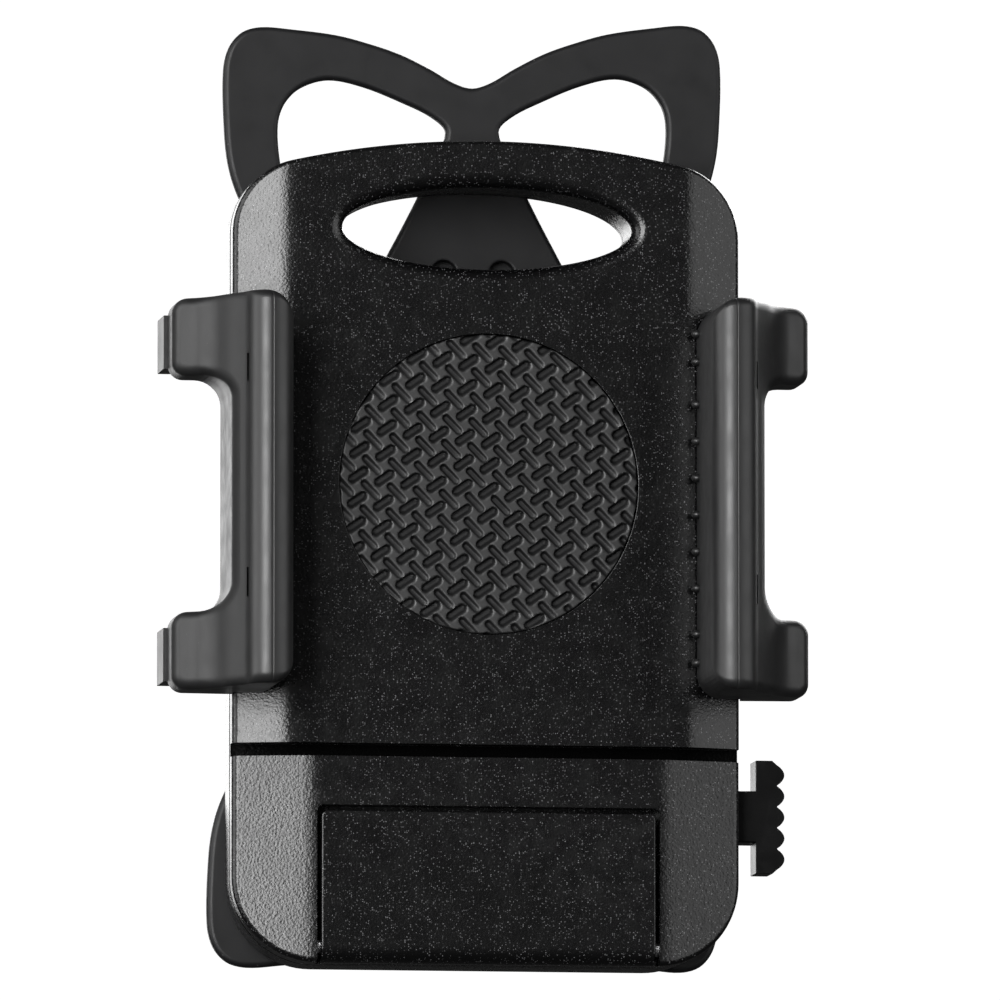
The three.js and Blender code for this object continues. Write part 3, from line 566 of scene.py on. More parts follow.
def plastic(name, base, rough, grain, grain_per_mm, wear, mottled=0.25, sparkle=0.0, spec=0.5,
            groove=None):
    """Moulded plastic: uneven tone, fine grain, lighter edges and, if asked, painted glints:
    lighter specks in the base colour.
    groove is (z, half height, back y) in mm of a slot whose floor is painted black as shade, its
    reflection cut down as well."""
    s = Shader(name)
    broad = s.noise(per_mm=0.05, detail=4)
    fine = s.noise(per_mm=1.4, detail=3)
    tone = s.math("ADD", s.times(broad, 0.7), s.times(fine, 0.3))
    colour = s.ramp(tone, start=(0.3, tint(base, 1 - mottled)), end=(0.75, tint(base, 1 + mottled)))
    worn = s.edges(0.53, 0.62)
    worn = s.times(worn, s.patches(per_mm=0.5, detail=5, start=(0.42, 0.0), end=(0.62, 1.0)))
    colour = s.mix(s.times(worn, wear), colour, tint(base, 2.4, lift=0.012))
    roughness = s.patches(per_mm=0.25, detail=4, start=(0.3, rough - 0.025),
                          end=(0.7, rough + 0.025))
    # Painted glints: lighter specks mixed into the base colour in place of the glints of tiny
    # facets.
    if sparkle:
        painted_glints = s.flecks(per_mm=4.0, core=0.20, rim=0.42, channel="Red", share=(0.64, 0.97))
        density = s.patches(per_mm=0.12, detail=3, start=(0.36, 0.65), end=(0.62, 1.0))
        painted_glints = s.times(painted_glints, density)
        colour = s.mix(s.times(painted_glints, sparkle), colour, (0.18, 0.18, 0.185))
    s.feed("Specular IOR Level", spec)
    if groove:
        level, half_height, back = groove
        xyz = s.separate("ShaderNodeSeparateXYZ", "Vector", s.place)
        offset = s.math("ABSOLUTE", s.math("ADD", xyz["Z"], -level * 0.001))
        inside = s.times(s.math("LESS_THAN", offset, half_height * 0.001),
                         s.math("LESS_THAN", xyz["Y"], back * 0.001))
        # Painted shade: inside the groove the colour goes near black and the specular level drops,
        # standing in for the shadow in the slot.
        colour = s.mix(inside, colour, 0.0006)
        s.feed("Specular IOR Level", s.ramp(inside, start=(0.0, spec), end=(1.0, 0.04)))
    s.feed("Base Color", colour)
    s.feed("Roughness", roughness)
    soft = s.noise(per_mm=grain_per_mm, detail=2, roughness=0.5)
    cells = s.voronoi(grain_per_mm * 1.3).outputs["Distance"]
    skin = s.bump(s.math("ADD", soft, s.times(cells, 0.6)), strength=grain, depth_mm=0.05)
    waves = s.noise(per_mm=0.12, detail=3)
    s.feed("Normal", s.bump(waves, strength=0.12, depth_mm=0.03, under=skin))
    return s.material


def rubbery(name, base, rough, spec=0.35, dust=0.25, fine=0.5, sunk=None):
    """Matte rubber or silicone: soft bloom, fine skin and a little lint. sunk is (y start,
    y end, factor): between these depths in mm the specular level falls by the factor, painted shade
    that darkens the deeper parts."""
    s = Shader(name)
    colour = s.patches(per_mm=0.09, detail=5, start=(0.32, tint(base, 0.82)),
                       end=(0.72, tint(base, 1.22)))
    worn = s.edges(0.52, 0.60)
    lint = s.flecks(per_mm=1.1, core=0.05, rim=0.12, channel="Green", share=(0.86, 0.93))
    lint = s.times(lint, dust)
    colour = s.mix(s.times(worn, 0.35), colour, tint(base, 1.9))
    s.feed("Base Color", s.mix(lint, colour, 0.22))
    s.feed("Roughness", s.patches(per_mm=0.3, detail=4, start=(0.3, rough - 0.05),
                                  end=(0.7, rough + 0.06)))
    s.feed("Specular IOR Level", spec)
    # Painted shade: the deeper parts of the surface reflect less, so recesses look darker.
    if sunk:
        start, end, factor = sunk
        xyz = s.separate("ShaderNodeSeparateXYZ", "Vector", s.place)
        depth = s.times(xyz["Y"], 1000.0)
        s.feed("Specular IOR Level", s.ramp(depth, start=(start, spec), end=(end, spec * factor)))
    skin = s.bump(s.noise(per_mm=5.0, detail=2), strength=fine * 0.5, depth_mm=0.02)
    waves = s.noise(per_mm=0.7, detail=3)
    s.feed("Normal", s.bump(waves, strength=fine * 0.35, depth_mm=0.04, under=skin))
    return s.material


def metal(name, base, rough, turned=None, wear=0.3):
    """Bare metal; `turned` is the axis that crosses its fine turning marks."""
    s = Shader(name)
    colour = s.patches(per_mm=0.2, detail=4, start=(0.3, tint(base, 0.86)),
                       end=(0.7, tint(base, 1.1)))
    worn = s.edges(0.53, 0.63)
    s.feed("Base Color", s.mix(s.times(worn, wear), colour, tint(base, 1.8, lift=0.05)))
    s.feed("Metallic", 1.0)
    s.feed("Roughness", s.patches(per_mm=0.8, detail=4, start=(0.3, rough - 0.07),
                                  end=(0.7, rough + 0.08)))
    stretch = {"X": (30, 1, 1), "Y": (1, 30, 1), "Z": (1, 1, 30)}.get(turned)
    marks = s.noise(per_mm=0.35 if stretch else 2.5, detail=3, stretch=stretch)
    s.feed("Normal", s.bump(marks, strength=0.35, depth_mm=0.02))
    return s.material


def powder(name, base, rough):
    """Powder-coated aluminium: orange-peel skin, rubbed edges showing metal."""
    s = Shader(name)
    colour = s.patches(per_mm=0.08, detail=4, start=(0.3, tint(base, 0.85)),
                       end=(0.7, tint(base, 1.2)))
    worn = s.edges(0.56, 0.66)
    spots = s.patches(per_mm=0.9, detail=5, start=(0.55, 0.0), end=(0.68, 1.0))
    rubbed = s.times(worn, spots)
    s.feed("Base Color", s.mix(rubbed, colour, (0.42, 0.42, 0.43)))
    s.feed("Metallic", rubbed)
    s.feed("Roughness", s.patches(per_mm=0.4, detail=4, start=(0.3, rough - 0.06),
                                  end=(0.7, rough + 0.08)))
    peel = s.bump(s.noise(per_mm=1.8, detail=2), strength=0.5, depth_mm=0.03)
    cells = s.voronoi(2.6).outputs["Distance"]
    s.feed("Normal", s.bump(cells, strength=0.25, depth_mm=0.02, under=peel))
    return s.material


def paper(name):
    """White paper: plain white to the camera, and giving back light only from its upper part."""
    s = Shader(name)
    white = s.patches(per_mm=0.004, detail=3, start=(0.3, 0.80), end=(0.7, 0.86))
    s.feed("Roughness", 0.9)
    to_camera = s.node("ShaderNodeLightPath").outputs["Is Camera Ray"]
    s.feed("Base Color", s.mix(to_camera, 0.02, white))
    position = s.node("ShaderNodeNewGeometry").outputs["Position"]
    xyz = s.separate("ShaderNodeSeparateXYZ", "Vector", position)
    glow = s.times(s.ramp(xyz["Z"], start=(0.16, 0.0), end=(0.88, 1.0)), 0.22)
    seen = s.times(to_camera, s.ramp(xyz["Y"], start=(0.30, 0.84), end=(0.80, 1.0)))
    s.feed("Emission Color", 1.0)
    s.feed("Emission Strength", s.math("MAXIMUM", seen, glow))
    return s.material


STEEL = (0.52, 0.52, 0.53)
MATERIALS = {
    "shell": plastic("shell_black", (0.0013, 0.0013, 0.0014), rough=0.27, grain=0.60,
                     # sparkle sets the painted glints on the shell face.
                     grain_per_mm=2.4, sparkle=0.65, wear=0.2, mottled=0.12, spec=0.42,
                     # Painted shade: the groove floor of the shell is coloured black.
                     groove=(GROOVE_MID, 0.835, 4.9)),
    "arm": plastic("arm_black", (0.003, 0.003, 0.0031), rough=0.42, grain=0.15,
                   grain_per_mm=5, wear=0.4),
    "button": plastic("button_black", (0.0010, 0.0010, 0.0011), rough=0.36, grain=0.2,
                      grain_per_mm=4, wear=0.3, spec=0.20),
    "collar": plastic("collar_black", (0.006, 0.006, 0.0065), rough=0.48, grain=0.45,
                      grain_per_mm=3.0, wear=0.6),
    # The pad's tread pits get painted shade through sunk.
    "pad": rubbery("pad_rubber", (0.0045, 0.0045, 0.0047), rough=0.50, spec=0.62, dust=0.5,
                   fine=0.5, sunk=(0.10, 0.45, 0.30)),
    "jaw": rubbery("jaw_rubber", (0.0062, 0.0062, 0.0064), rough=0.43, spec=0.50, dust=0.10,
                   fine=0.40),
    "liner": rubbery("clamp_rubber", (0.012, 0.012, 0.0125), rough=0.7),
    "silicone": rubbery("silicone", (0.0046, 0.0046, 0.0050), rough=0.50, spec=0.29, dust=0.3,
                        fine=0.7),
    "acetal": plastic("acetal", (0.66, 0.65, 0.60), rough=0.36, grain=0.12, grain_per_mm=4,
                      wear=0.15, mottled=0.05),
    "alloy": powder("black_alloy", (0.008, 0.008, 0.0085), rough=0.45),
    "steel_y": metal("pin_steel_y", STEEL, rough=0.28, turned="Y"),
    "steel_x": metal("pin_steel_x", STEEL, rough=0.28, turned="X"),
    "steel_z": metal("pin_steel_z", STEEL, rough=0.28, turned="Z"),
    "screw": metal("screw_steel", (0.09, 0.09, 0.095), rough=0.40, wear=0.8),
    "spring": metal("spring_steel", (0.45, 0.45, 0.46), rough=0.30),
    "brass": metal("brass_insert", (0.65, 0.45, 0.18), rough=0.30, turned="Z"),
}

# =============================================================================
# 4. Cradle body
# =============================================================================
# Centres of the crown arc and of the upper corner arcs, and the angle where they meet
CROWN_Z = BODY_TOP - CROWN_RADIUS
CORNER_X = BODY_HALF_WIDTH - CORNER_RADIUS
CORNER_Z = CROWN_Z + math.sqrt((CROWN_RADIUS - CORNER_RADIUS) ** 2 - CORNER_X ** 2)
CORNER_ANGLE = math.atan2(CORNER_Z - CROWN_Z, CORNER_X) / DEGREE

# Edge loops of the front cover, crowded around the two bends of its face
BEND_LOOPS = sorted({round(side * (bend + d), 3)
                     for side in (-1, 1)
                     for bend in (UPPER_BEND_X, LOWER_BEND_X)
                     for d in (-2.2, -1.4, -0.9, -0.55, -0.25, 0.0,
                               0.25, 0.55, 0.9, 1.4, 2.2, 3.4)} | {-12.0, 0.0, 12.0})


def outline(inset):
    """Outline of the body in x and z."""
    corner, foot = CORNER_RADIUS - inset, FOOT_RADIUS - inset
    foot_x, foot_z = BODY_HALF_WIDTH - FOOT_RADIUS, BODY_BOTTOM + FOOT_RADIUS
    crown = arc(0, CROWN_Z, CROWN_RADIUS - inset, CORNER_ANGLE, 180 - CORNER_ANGLE, 40)
    return (arc(foot_x, foot_z, foot, -90, 0, 20)
            + arc(CORNER_X, CORNER_Z, corner, 0, CORNER_ANGLE, 20)
            + crown[1:-1]
            + arc(-CORNER_X, CORNER_Z, corner, 180 - CORNER_ANGLE, 180, 20)
            + arc(-foot_x, foot_z, foot, 180, 270, 20))


def oval(grow, sides):
    turns = [2 * math.pi * i / sides for i in range(sides)]
    return [((OVAL_HALF_WIDTH + grow) * math.cos(t),
             OVAL_Z + (OVAL_HALF_HEIGHT + grow) * math.sin(t)) for t in turns]


def face_fall(x, z):
    """How far the front face lies back at (x, z), with a softened bend."""
    softness = 0.5
    upper = z > GROOVE_MID
    bend = np.where(upper, UPPER_BEND_X, LOWER_BEND_X)
    slope = np.where(upper, UPPER_FALL, LOWER_FALL) / (BODY_HALF_WIDTH - bend)
    return slope * softness * np.logaddexp(0, (np.abs(x) - bend) / softness)


def front_solid(inset, front, back, radius):
    """Solid with the bent front face; the fall fades out towards its back."""
    o = rounded_prism(lambda i: outline(inset + i), front, back, radius, 0.30, 7, 4)
    slice_planes(o, "X", BEND_LOOPS)
    slice_planes(o, "Z", [-34.6, -35.1])
    full_y, fade_end = front + radius, back - 0.6

    def bend_back(co):
        y = co[:, 1]
        weight = np.clip((fade_end - y) / (fade_end - full_y), 0, 1)
        weight = np.where(y <= full_y + 1e-4, 1.0, weight)
        co[:, 1] = y + face_fall(co[:, 0], co[:, 2]) * weight

    displace(o, bend_back)
    return o


def flared_oval(grow, lip):
    """Cutter of the oval window with a rolled lip at the front face."""
    rings = [(-3, lip + 0.02)]
    for k in range(8):
        t = QUARTER * k / 7
        rings.append((lip * (1 - math.cos(t)), lip * (1 - math.sin(t))))
    rings.append((20.0, 0))
    return loft([[(x, y, z) for x, z in oval(flare + grow, 120)] for y, flare in rings])


def front_openings(grow, lip):
    """Cutters of the openings in the front cover; with lip the pad seat has a rounded rim."""
    seat, seat_depth = PAD_RADIUS + 0.17, 1.85
    window = flared_oval(grow, lip=2.0)
    if lip:
        rim = PAD_RADIUS + 0.25
        pad_seat = lathe([(0, -3), (rim, -3), (rim, 0.0), (PAD_RADIUS + 0.195, 0.025),
                          (seat, 0.08), (seat, seat_depth), (0, seat_depth)], "Y", 0, 0, 180)
    else:
        pad_seat = cylinder("Y", 0, 0, seat + grow, -3, seat_depth + grow / 2, 180)
    notch = prism(round_rect(-NOTCH_HALF_WIDTH - grow, NOTCH_HALF_WIDTH + grow,
                             -70, NOTCH_TOP + grow, 0.9, 6), "Y", -3, 3.2 + grow / 2)
    # Groove: its floor steps back towards both sides
    side_y, middle_y = 4.2 + grow / 2, 2.8 + grow / 2
    groove = prism([(-40, -3.1), (40, -3.1), (40, side_y), (33, side_y), (23, middle_y),
                    (-23, middle_y), (-33, side_y), (-40, side_y)],
                   "Z", GROOVE_BOTTOM - grow, GROOVE_TOP + grow)
    return [window, pad_seat, notch, groove]


def front_rim_edge(middle, edge):
    """Front edges of the groove and of the ledge notch."""
    x, y, z = middle
    ends = [v.co for v in edge.verts]

    def at_level(level):
        return all(abs(p.z - level) < 0.012 for p in ends)

    if y < 1.6 and (at_level(GROOVE_BOTTOM) or at_level(GROOVE_TOP)):
        normals = [f.normal for f in edge.link_faces]
        return (any(abs(n.z) > 0.9 for n in normals) and any(n.y < -0.7 for n in normals)
                and abs(x) < 32.5)
    notch_side = z < LEDGE_TOP and all(abs(abs(p.x) - NOTCH_HALF_WIDTH) < 0.012 for p in ends)
    notch_top = at_level(NOTCH_TOP) and abs(x) < LEDGE_HALF_WIDTH + 1
    return (notch_side or notch_top) and y < 1.0


def make_front():
    """Front cover: a modelled skin around the inner detail of the CAD solid."""
    skin = front_solid(0.0, 0.0, 4.9, 0.75)
    cut(skin, front_solid(1.15, 1.25, 9.0, 0.3))
    core = cad_copy("front_cover", dissolve=False)
    limits = front_solid(0.75, 0.85, 4.85, 0.3)
    window_wall = prism(oval(3.4, 96), "Y", 2.0, 9)
    hinge_block = box(-24, 24, 3.0, 6.5, -61.0, -54)
    join(limits, window_wall, hinge_block)
    intersect(core, limits)
    cut(core, *front_openings(0.02, lip=False))
    cut(skin, *front_openings(0.0, lip=True))
    bevel(skin, 0.28, segments=3, angle=30, pick=front_rim_edge)
    merge(skin, core)
    finish_piece(skin, "front_shell", "cradle", "shell", "front_cover", smooth=32)


def rear_openings(grow):
    """Cutters of the openings in the rear cover."""
    cutters = []
    half_rail = RAIL_HEIGHT / 2
    for z in RAIL_LEVELS:
        for side in (-1, 1):
            below = 1.4 if (side > 0 and z == LOWER_RAIL) else 0.35
            cutters.append(box(min(side * 30, side * 36), max(side * 30, side * 36),
                               3, 9.6 + grow,
                               z - half_rail - below - grow, z + half_rail + 0.35 + grow))
    cutters.append(box(30, 36, 3, 10.7 + grow, BUTTON_Z - 3.7 - grow, BUTTON_Z + 3.7 + grow))
    cutters.append(prism(oval(0.6 + grow, 120), "Y", 0, 20))
    # Screw hole with a counterbore that opens to the back
    counterbore = [(0, 12.2 - grow), (2.9 + grow, 12.2 - grow), (2.9 + grow, 13.75),
                   (3.15 + grow, 14.0), (3.15 + grow, 20), (0, 20)]
    for x, z in CASE_SCREWS:
        cutters.append(cylinder("Y", x, z, 1.55 + grow, 12, 20, 32))
        cutters.append(lathe(counterbore, "Y", x, z, 40))
    for x, z in SOCKET_SCREWS:
        cutters.append(cylinder("Y", x, z, 1.5 + grow, 12.6, 20, 24))
    return cutters


def make_rear():
    """Rear cover: a drafted skin around the inner detail of the CAD solid."""
    skin = rounded_prism(outline, 5.2, 14.0, 0.30, 2.0, 4, 8)
    cut(skin, rounded_prism(lambda i: outline(1.2 + i), 3.0, 12.9, 0.1, 1.2, 1, 4))

    def draft(co):
        co[:, 0] *= 1 - 0.011 * np.clip((co[:, 1] - 6.0) / 6.0, 0, 1)

    displace(skin, draft)
    core = cad_copy("rear_cover", dissolve=False)
    intersect(core, rounded_prism(lambda i: outline(0.9 + i), 5.26, 13.3, 0.1, 1.5, 1, 4))
    cut(core, *rear_openings(0.02))
    cut(skin, *rear_openings(0.0))
    merge(skin, core)
    finish_piece(skin, "rear_shell", "cradle", "shell", "rear_cover", smooth=32)


# =============================================================================
# 5. Round pad and ledge
# =============================================================================
# The two steps (x, z) of the leaning lattice that the tread slots repeat on, as columns
TREAD_LATTICE = np.stack([np.array([3.42, -0.358]), np.array([0.16, 3.265])], 1)


def slot_field(points, centre, angle, length, width):
    """For each point, its distance to the centre line of the nearest slot, and its place
    along and across that slot."""
    along_axis = np.array([math.cos(angle * DEGREE), math.sin(angle * DEGREE)])
    across_axis = np.array([-along_axis[1], along_axis[0]])
    local = points - np.array(centre)
    cell = np.floor(local @ np.linalg.inv(TREAD_LATTICE).T)
    shape = points.shape[:2]
    nearest = np.full(shape, 9.0)
    along, across = np.zeros(shape), np.zeros(shape)
    half_line = (length - width) / 2
    for i in (0, 1):
        for j in (0, 1):
            offset = local - (cell + np.array([i, j])) @ TREAD_LATTICE.T
            u, v = offset @ along_axis, offset @ across_axis
            distance = np.hypot(u - np.clip(u, -half_line, half_line), v)
            nearer = distance < nearest
            nearest = np.where(nearer, distance, nearest)
            along = np.where(nearer, u, along)
            across = np.where(nearer, v, across)
    return nearest, along, across


def smooth_step(t):
    t = np.clip(t, 0, 1)
    return t * t * (3 - 2 * t)


def tread_depth(points):
    """Depth of the basket tread: two sets of short slanted slots."""
    # Falling slots, deepest at their upper left end
    width = 0.98
    distance, along, _ = slot_field(points, (1.72, 0.47), angle=-46.5, length=3.35, width=width)
    falling = (0.44 - 0.13 * along) * smooth_step((width / 2 + 0.10 - distance) / 0.36)
    # Rising slots: steep wall on the upper left side, floor climbing to the lower right
    width = 1.24
    distance, _, across = slot_field(points, (0, -0.9), angle=34.5, length=3.05, width=width)
    margin = np.where(across > 0, 0.06, 0.16)
    blend = np.where(across > 0, 0.18, 0.70)
    rising = (0.58 + 0.30 * across) * smooth_step((width / 2 + margin - distance) / blend)
    return np.maximum(np.maximum(np.zeros(distance.shape), falling), rising)


def make_pad():
    """Round rubber pad: a polar grid carrying the tread, with a rounded rim."""
    flat_rings, rim_rings, sides = 132, 6, 620
    face_y, back_y, rim = 0.05, 1.5, 0.25
    outer = PAD_RADIUS + 0.09
    rim_turn = np.linspace(0, np.pi / 2, rim_rings + 1)[1:]
    radii = np.concatenate([np.linspace(0, outer - rim, flat_rings),
                            outer - rim + rim * np.sin(rim_turn)])
    turns = np.linspace(0, 2 * np.pi, sides, endpoint=False)
    radius, turn = np.meshgrid(radii, turns, indexing="ij")
    X, Z = radius * np.cos(turn), radius * np.sin(turn)
    Y = face_y + tread_depth(np.stack([X, Z], -1))
    Y[flat_rings:] += (rim * (1 - np.cos(rim_turn)))[:, None]

    bm = bmesh.new()
    centre = bm.verts.new((0, float(Y[0, 0]), 0))
    rows = [[bm.verts.new((float(X[i, j]), float(Y[i, j]), float(Z[i, j])))
             for j in range(sides)] for i in range(1, len(radii))]
    for j in range(sides):
        bm.faces.new((centre, rows[0][(j + 1) % sides], rows[0][j]))
    back = [bm.verts.new((outer * math.cos(t), back_y, outer * math.sin(t))) for t in turns]
    rows.append(back)
    for a, b in zip(rows, rows[1:]):
        for j in range(sides):
            k = (j + 1) % sides
            bm.faces.new((a[j], a[k], b[k], b[j]))
    bm.faces.new(back)
    finish_piece(new_obj(bm), "pad_tread", "cradle", "pad", "grip_pad", smooth=60,
                 weighted=False)


def make_ledge():
    """Ledge plate ending in its hinge barrel."""
    profile = [(LEDGE_THICKNESS, HINGE_Z + 1.6), (LEDGE_THICKNESS, LEDGE_TOP),
               (0.0, LEDGE_TOP), (0.0, HINGE_Z)]
    profile += arc(HINGE_Y, HINGE_Z, HINGE_RADIUS, 180, 390, 39)[1:]
    o = prism(profile, "X", -LEDGE_HALF_WIDTH, LEDGE_HALF_WIDTH)

    def upper_corner(middle, edge):
        return (abs(abs(middle.x) - LEDGE_HALF_WIDTH) < 0.01
                and abs(middle.z - LEDGE_TOP) < 0.01)

    bevel(o, 0.9, segments=5, angle=40, pick=upper_corner)
    bevel(o, 0.40, segments=4, angle=40)
    cut(o, cylinder("X", HINGE_Y, HINGE_Z, 1.2, -30, 30, 40))
    # Relief on the back of the plate
    cut(o, prism(round_rect(-18.5, 18.5, -54.5, -46.0, 1.6, 6), "Y", 1.9, 4.0))
    finish_piece(o, "ledge_plate", "ledge", "shell", "support_ledge", smooth=35)


# =============================================================================
# 6. Jaws and side button
# =============================================================================
# Hooked slope of the cap outside its bead, (x, y)
HOOK = smooth_open([
    (33.1, -13.3), (33.5, -12.15), (34.3, -10.8), (35.5, -8.9), (36.8, -6.6),
    (38.3, -4.85), (39.8, -3.85), (41.0, -3.08), (42.2, -2.3)], 6)
BEAD_X, BEAD_Y, BEAD_RADIUS = 30.35, -12.1, 3.0
BEAD_END = 33.1
NUB_LEVELS = (19.89, 16.25, 10.66, 5.85, 1.04, -3.77, -8.58, -13.39, -19.37, -23.14)


def cap_face_y(x):
    """Front face of the cap over x: round bead, crease, then the hooked slope."""
    bead = BEAD_Y - np.sqrt(np.clip(BEAD_RADIUS**2 - (x - BEAD_X) ** 2, 0, None))
    # Fine line along the top of the bead
    bead = bead + 0.10 * np.exp(-((x - BEAD_X) / 0.07) ** 2)
    hook = np.interp(x, [p[0] for p in HOOK], [p[1] for p in HOOK])
    y = np.where(x < BEAD_END, bead, hook)
    # Soft valley between bead and slope
    return y + 0.10 * np.exp(-((x - 33.25) / 0.35) ** 2)


def cap_outline(inset):
    """Outline of the right cap in x and z: a bar with a tab at each end."""
    inner_x = 27.35
    bar_x, tab_x = 34.9 - inset * 0.62, TAB_END - inset * 0.62
    tighter = inset * 0.8
    tab_corner, notch_corner = 1.9 - tighter, 3.5 + tighter
    bottom, top = JAW_BOTTOM + inset, JAW_TOP - inset
    corners = [
        (inner_x, bottom, 3.2 - tighter),
        (tab_x, JAW_BOTTOM + 0.1 + inset, tab_corner),
        (tab_x, LOWER_TAB[1] - inset, tab_corner),
        (bar_x, LOWER_TAB[1] - inset, notch_corner),
        (bar_x, UPPER_TAB[0] + inset, notch_corner),
        (tab_x, UPPER_TAB[0] + inset, tab_corner),
        (tab_x, JAW_TOP - 0.05 - inset, tab_corner),
        (inner_x, top, 3.8 - tighter)]
    return fillet_outline(corners, 9)


def jaw_core(grow):
    """The jaw inside the cap, grown all round."""
    bar = prism([(29.3 - grow, -0.35 + grow), (29.3 - grow, -12.6 - grow),
                 (30.3 - grow, -13.4 - grow), (31.4 + grow, -12.9 - grow),
                 (33.2 + grow, -9.5 - grow), (33.2 + grow, -0.35 + grow)],
                "Z", JAW_BOTTOM + 1.7 - grow, JAW_TOP - 1.7 + grow)
    tabs = [prism(round_rect(30.5 - grow, TAB_END - 1.2 + grow,
                             z0 + 1.6 - grow, z1 - 1.6 + grow, 1.2), "Y", -1.7 - grow, 2.95)
            for z0, z1 in (UPPER_TAB, LOWER_TAB)]
    return join(bar, *tabs)


def make_caps():
    """Rubber caps over the jaws; the left one mirrors the right one."""
    front_radius, steps = 1.45, 9
    rings = []
    for k in range(steps, -1, -1):
        t = QUARTER * k / steps
        y = front_radius * (1 - math.sin(t))
        rings.append([(x, y, z) for x, z in cap_outline(front_radius * (1 - math.cos(t)))])
    rings.append([(x, 20.0, z) for x, z in cap_outline(0)])
    cap = loft(rings)
    loops = [BEAD_X + BEAD_RADIUS * math.cos(t * DEGREE) for t in np.linspace(176, 24, 34)]
    loops += [30.21, 30.28, 30.35, 30.42, 30.49, 33.1, 33.2, 33.3, 33.45]
    loops += [33.65 + 0.45 * k for k in range(18)]
    slice_planes(cap, "X", sorted(loops))

    def shape_face(co):
        y = co[:, 1]
        # The back ring lies at y = 20 until here
        co[:, 1] = np.where(y < 10, np.minimum(cap_face_y(co[:, 0]) + y, 1.6), 2.6)

    displace(cap, shape_face)
    cut(cap, jaw_core(0.3))
    half_hole = RAIL_HEIGHT / 2 + 0.25
    cut(cap, *[box(33.3, TAB_END - 0.85, -1.3, 5, z - half_hole, z + half_hole)
               for z in RAIL_LEVELS])
    cut(cap, box(20, 33.4, 0.0, 4, -40, 40))
    # Slits in the crease, and a row of nubs on the inner wall
    cut(cap, *[box(33.16, 33.40, -13.2, -11.2, z0, z1) for z0, z1 in ((11.6, 15.2),
                                                                      (-16.4, -12.6))])
    join(cap, *[ball((27.2, -1.35, z), radius=0.62, around=16, rings=10,
                     stretch=(1.25, 1.3, 0.9)) for z in NUB_LEVELS])
    left = mirrored_x(cap)
    finish_piece(cap, "right_cap", "right_arm", "jaw", "right_jaw_cap", smooth=34)
    finish_piece(left, "left_cap", "left_arm", "jaw", "left_jaw_cap", smooth=34)


def make_arms():
    for jaw, body in (("left_jaw", "left_arm"), ("right_jaw", "right_arm")):
        o = cad_copy(jaw)
        bevel(o, 0.32, segments=2, angle=40,
              pick=lambda middle, edge: abs(middle.x) > 34.2 and middle.y > 2.5)
        finish_piece(o, jaw + "_body", body, "arm", jaw, smooth=32)


def make_button():
    """Side button: a ribbed cap outside the body and its shank inside."""
    front, back, half_height = 5.7, 10.3, 7.4
    rib_pitch, rib_x, rib_height = 2.75, 38.85, 0.95
    z0, z1 = BUTTON_Z - half_height, BUTTON_Z + half_height
    points = [(36.0, z0), (38.2, z0)]
    for i in range(-2, 3):
        rib_z = BUTTON_Z + i * rib_pitch
        for t in np.linspace(-1, 1, 11):
            points.append((rib_x + rib_height * math.cos(t * math.pi / 2) ** 0.8,
                           rib_z + t * rib_pitch / 2 * 0.96))
    points += [(38.2, z1), (36.0, z1)]
    o = prism(points, "Y", front, back)

    def face_or_inner(middle, edge):
        return (abs(middle.y - front) < 0.01 or abs(middle.y - back) < 0.01
                or middle.x < 38.3)

    bevel(o, 0.28, segments=3, angle=50, pick=face_or_inner)
    shank = box(24, 36.6, front, back, BUTTON_Z - 3.4, BUTTON_Z + 3.4)
    bevel(shank, 0.3, segments=2, angle=40)
    join(o, shank)
    rod = box(16.4, 24.4, 6.4, 8.6, BUTTON_Z - 1.0, BUTTON_Z + 1.0)
    plate = box(22.0, 25.0, 6.0, 10.0, BUTTON_Z - 7.9, BUTTON_Z + 5.4)
    join(o, join(rod, plate))
    finish_piece(o, "side_button", "button", "button", "release_button", smooth=36)


# =============================================================================
# 7. Silicone band
# =============================================================================
# Right upper quarter of the band from the top middle down to its waist, (x, z)
WING = [
    (0, 53.7), (2.4, 54.4), (5.5, 56.2), (9.5, 58.2), (13.5, 59.6), (18, 60.8), (24, 61.6),
    (28.0, 61.9), (30.5, 61.2), (32.2, 59.2), (32.9, 56.2), (32.8, 49.0), (32.3, 44.0),
    (31.0, 39.6), (28.2, 34.2), (24.6, 28.6), (21.0, 22.6), (19.6, 17), (19.2, 8)]
WAIST = 19.2
# Opening in the right upper wing, (x, z)
WING_HOLE = [
    (3.5, 47.9), (5.4, 43.4), (7.7, 38.4), (11.9, 30.4), (14.0, 26.8), (16.2, 26.0),
    (18.6, 28.4), (21.6, 33.6), (24.3, 39.0), (25.4, 44.0), (25.7, 49.0), (24.8, 51.8),
    (22.6, 53.9), (19.0, 54.9), (14.5, 54.0), (9.5, 52.0), (5.3, 49.9)]


def band_upper(x, z):
    """The upper wings lean a little: the right one up, the left one down."""
    return (x, z + 0.022 * x * min(1, (z - 20) / 25)) if z > 20 else (x, z)


def band_lower(x, z):
    """The lower wings mirror the upper ones, wider on the left than on the right."""
    widen = (1.06 if x < 0 else 0.985) if z > 30 else 1.0
    return (x * widen, -z - 0.3)


def band_side(points, side):
    """One side of the band outline from its top through the waist to its bottom."""
    return ([band_upper(side * x, z) for x, z in points] + [(side * WAIST, 0)]
            + [band_lower(side * x, z) for x, z in points[::-1]])


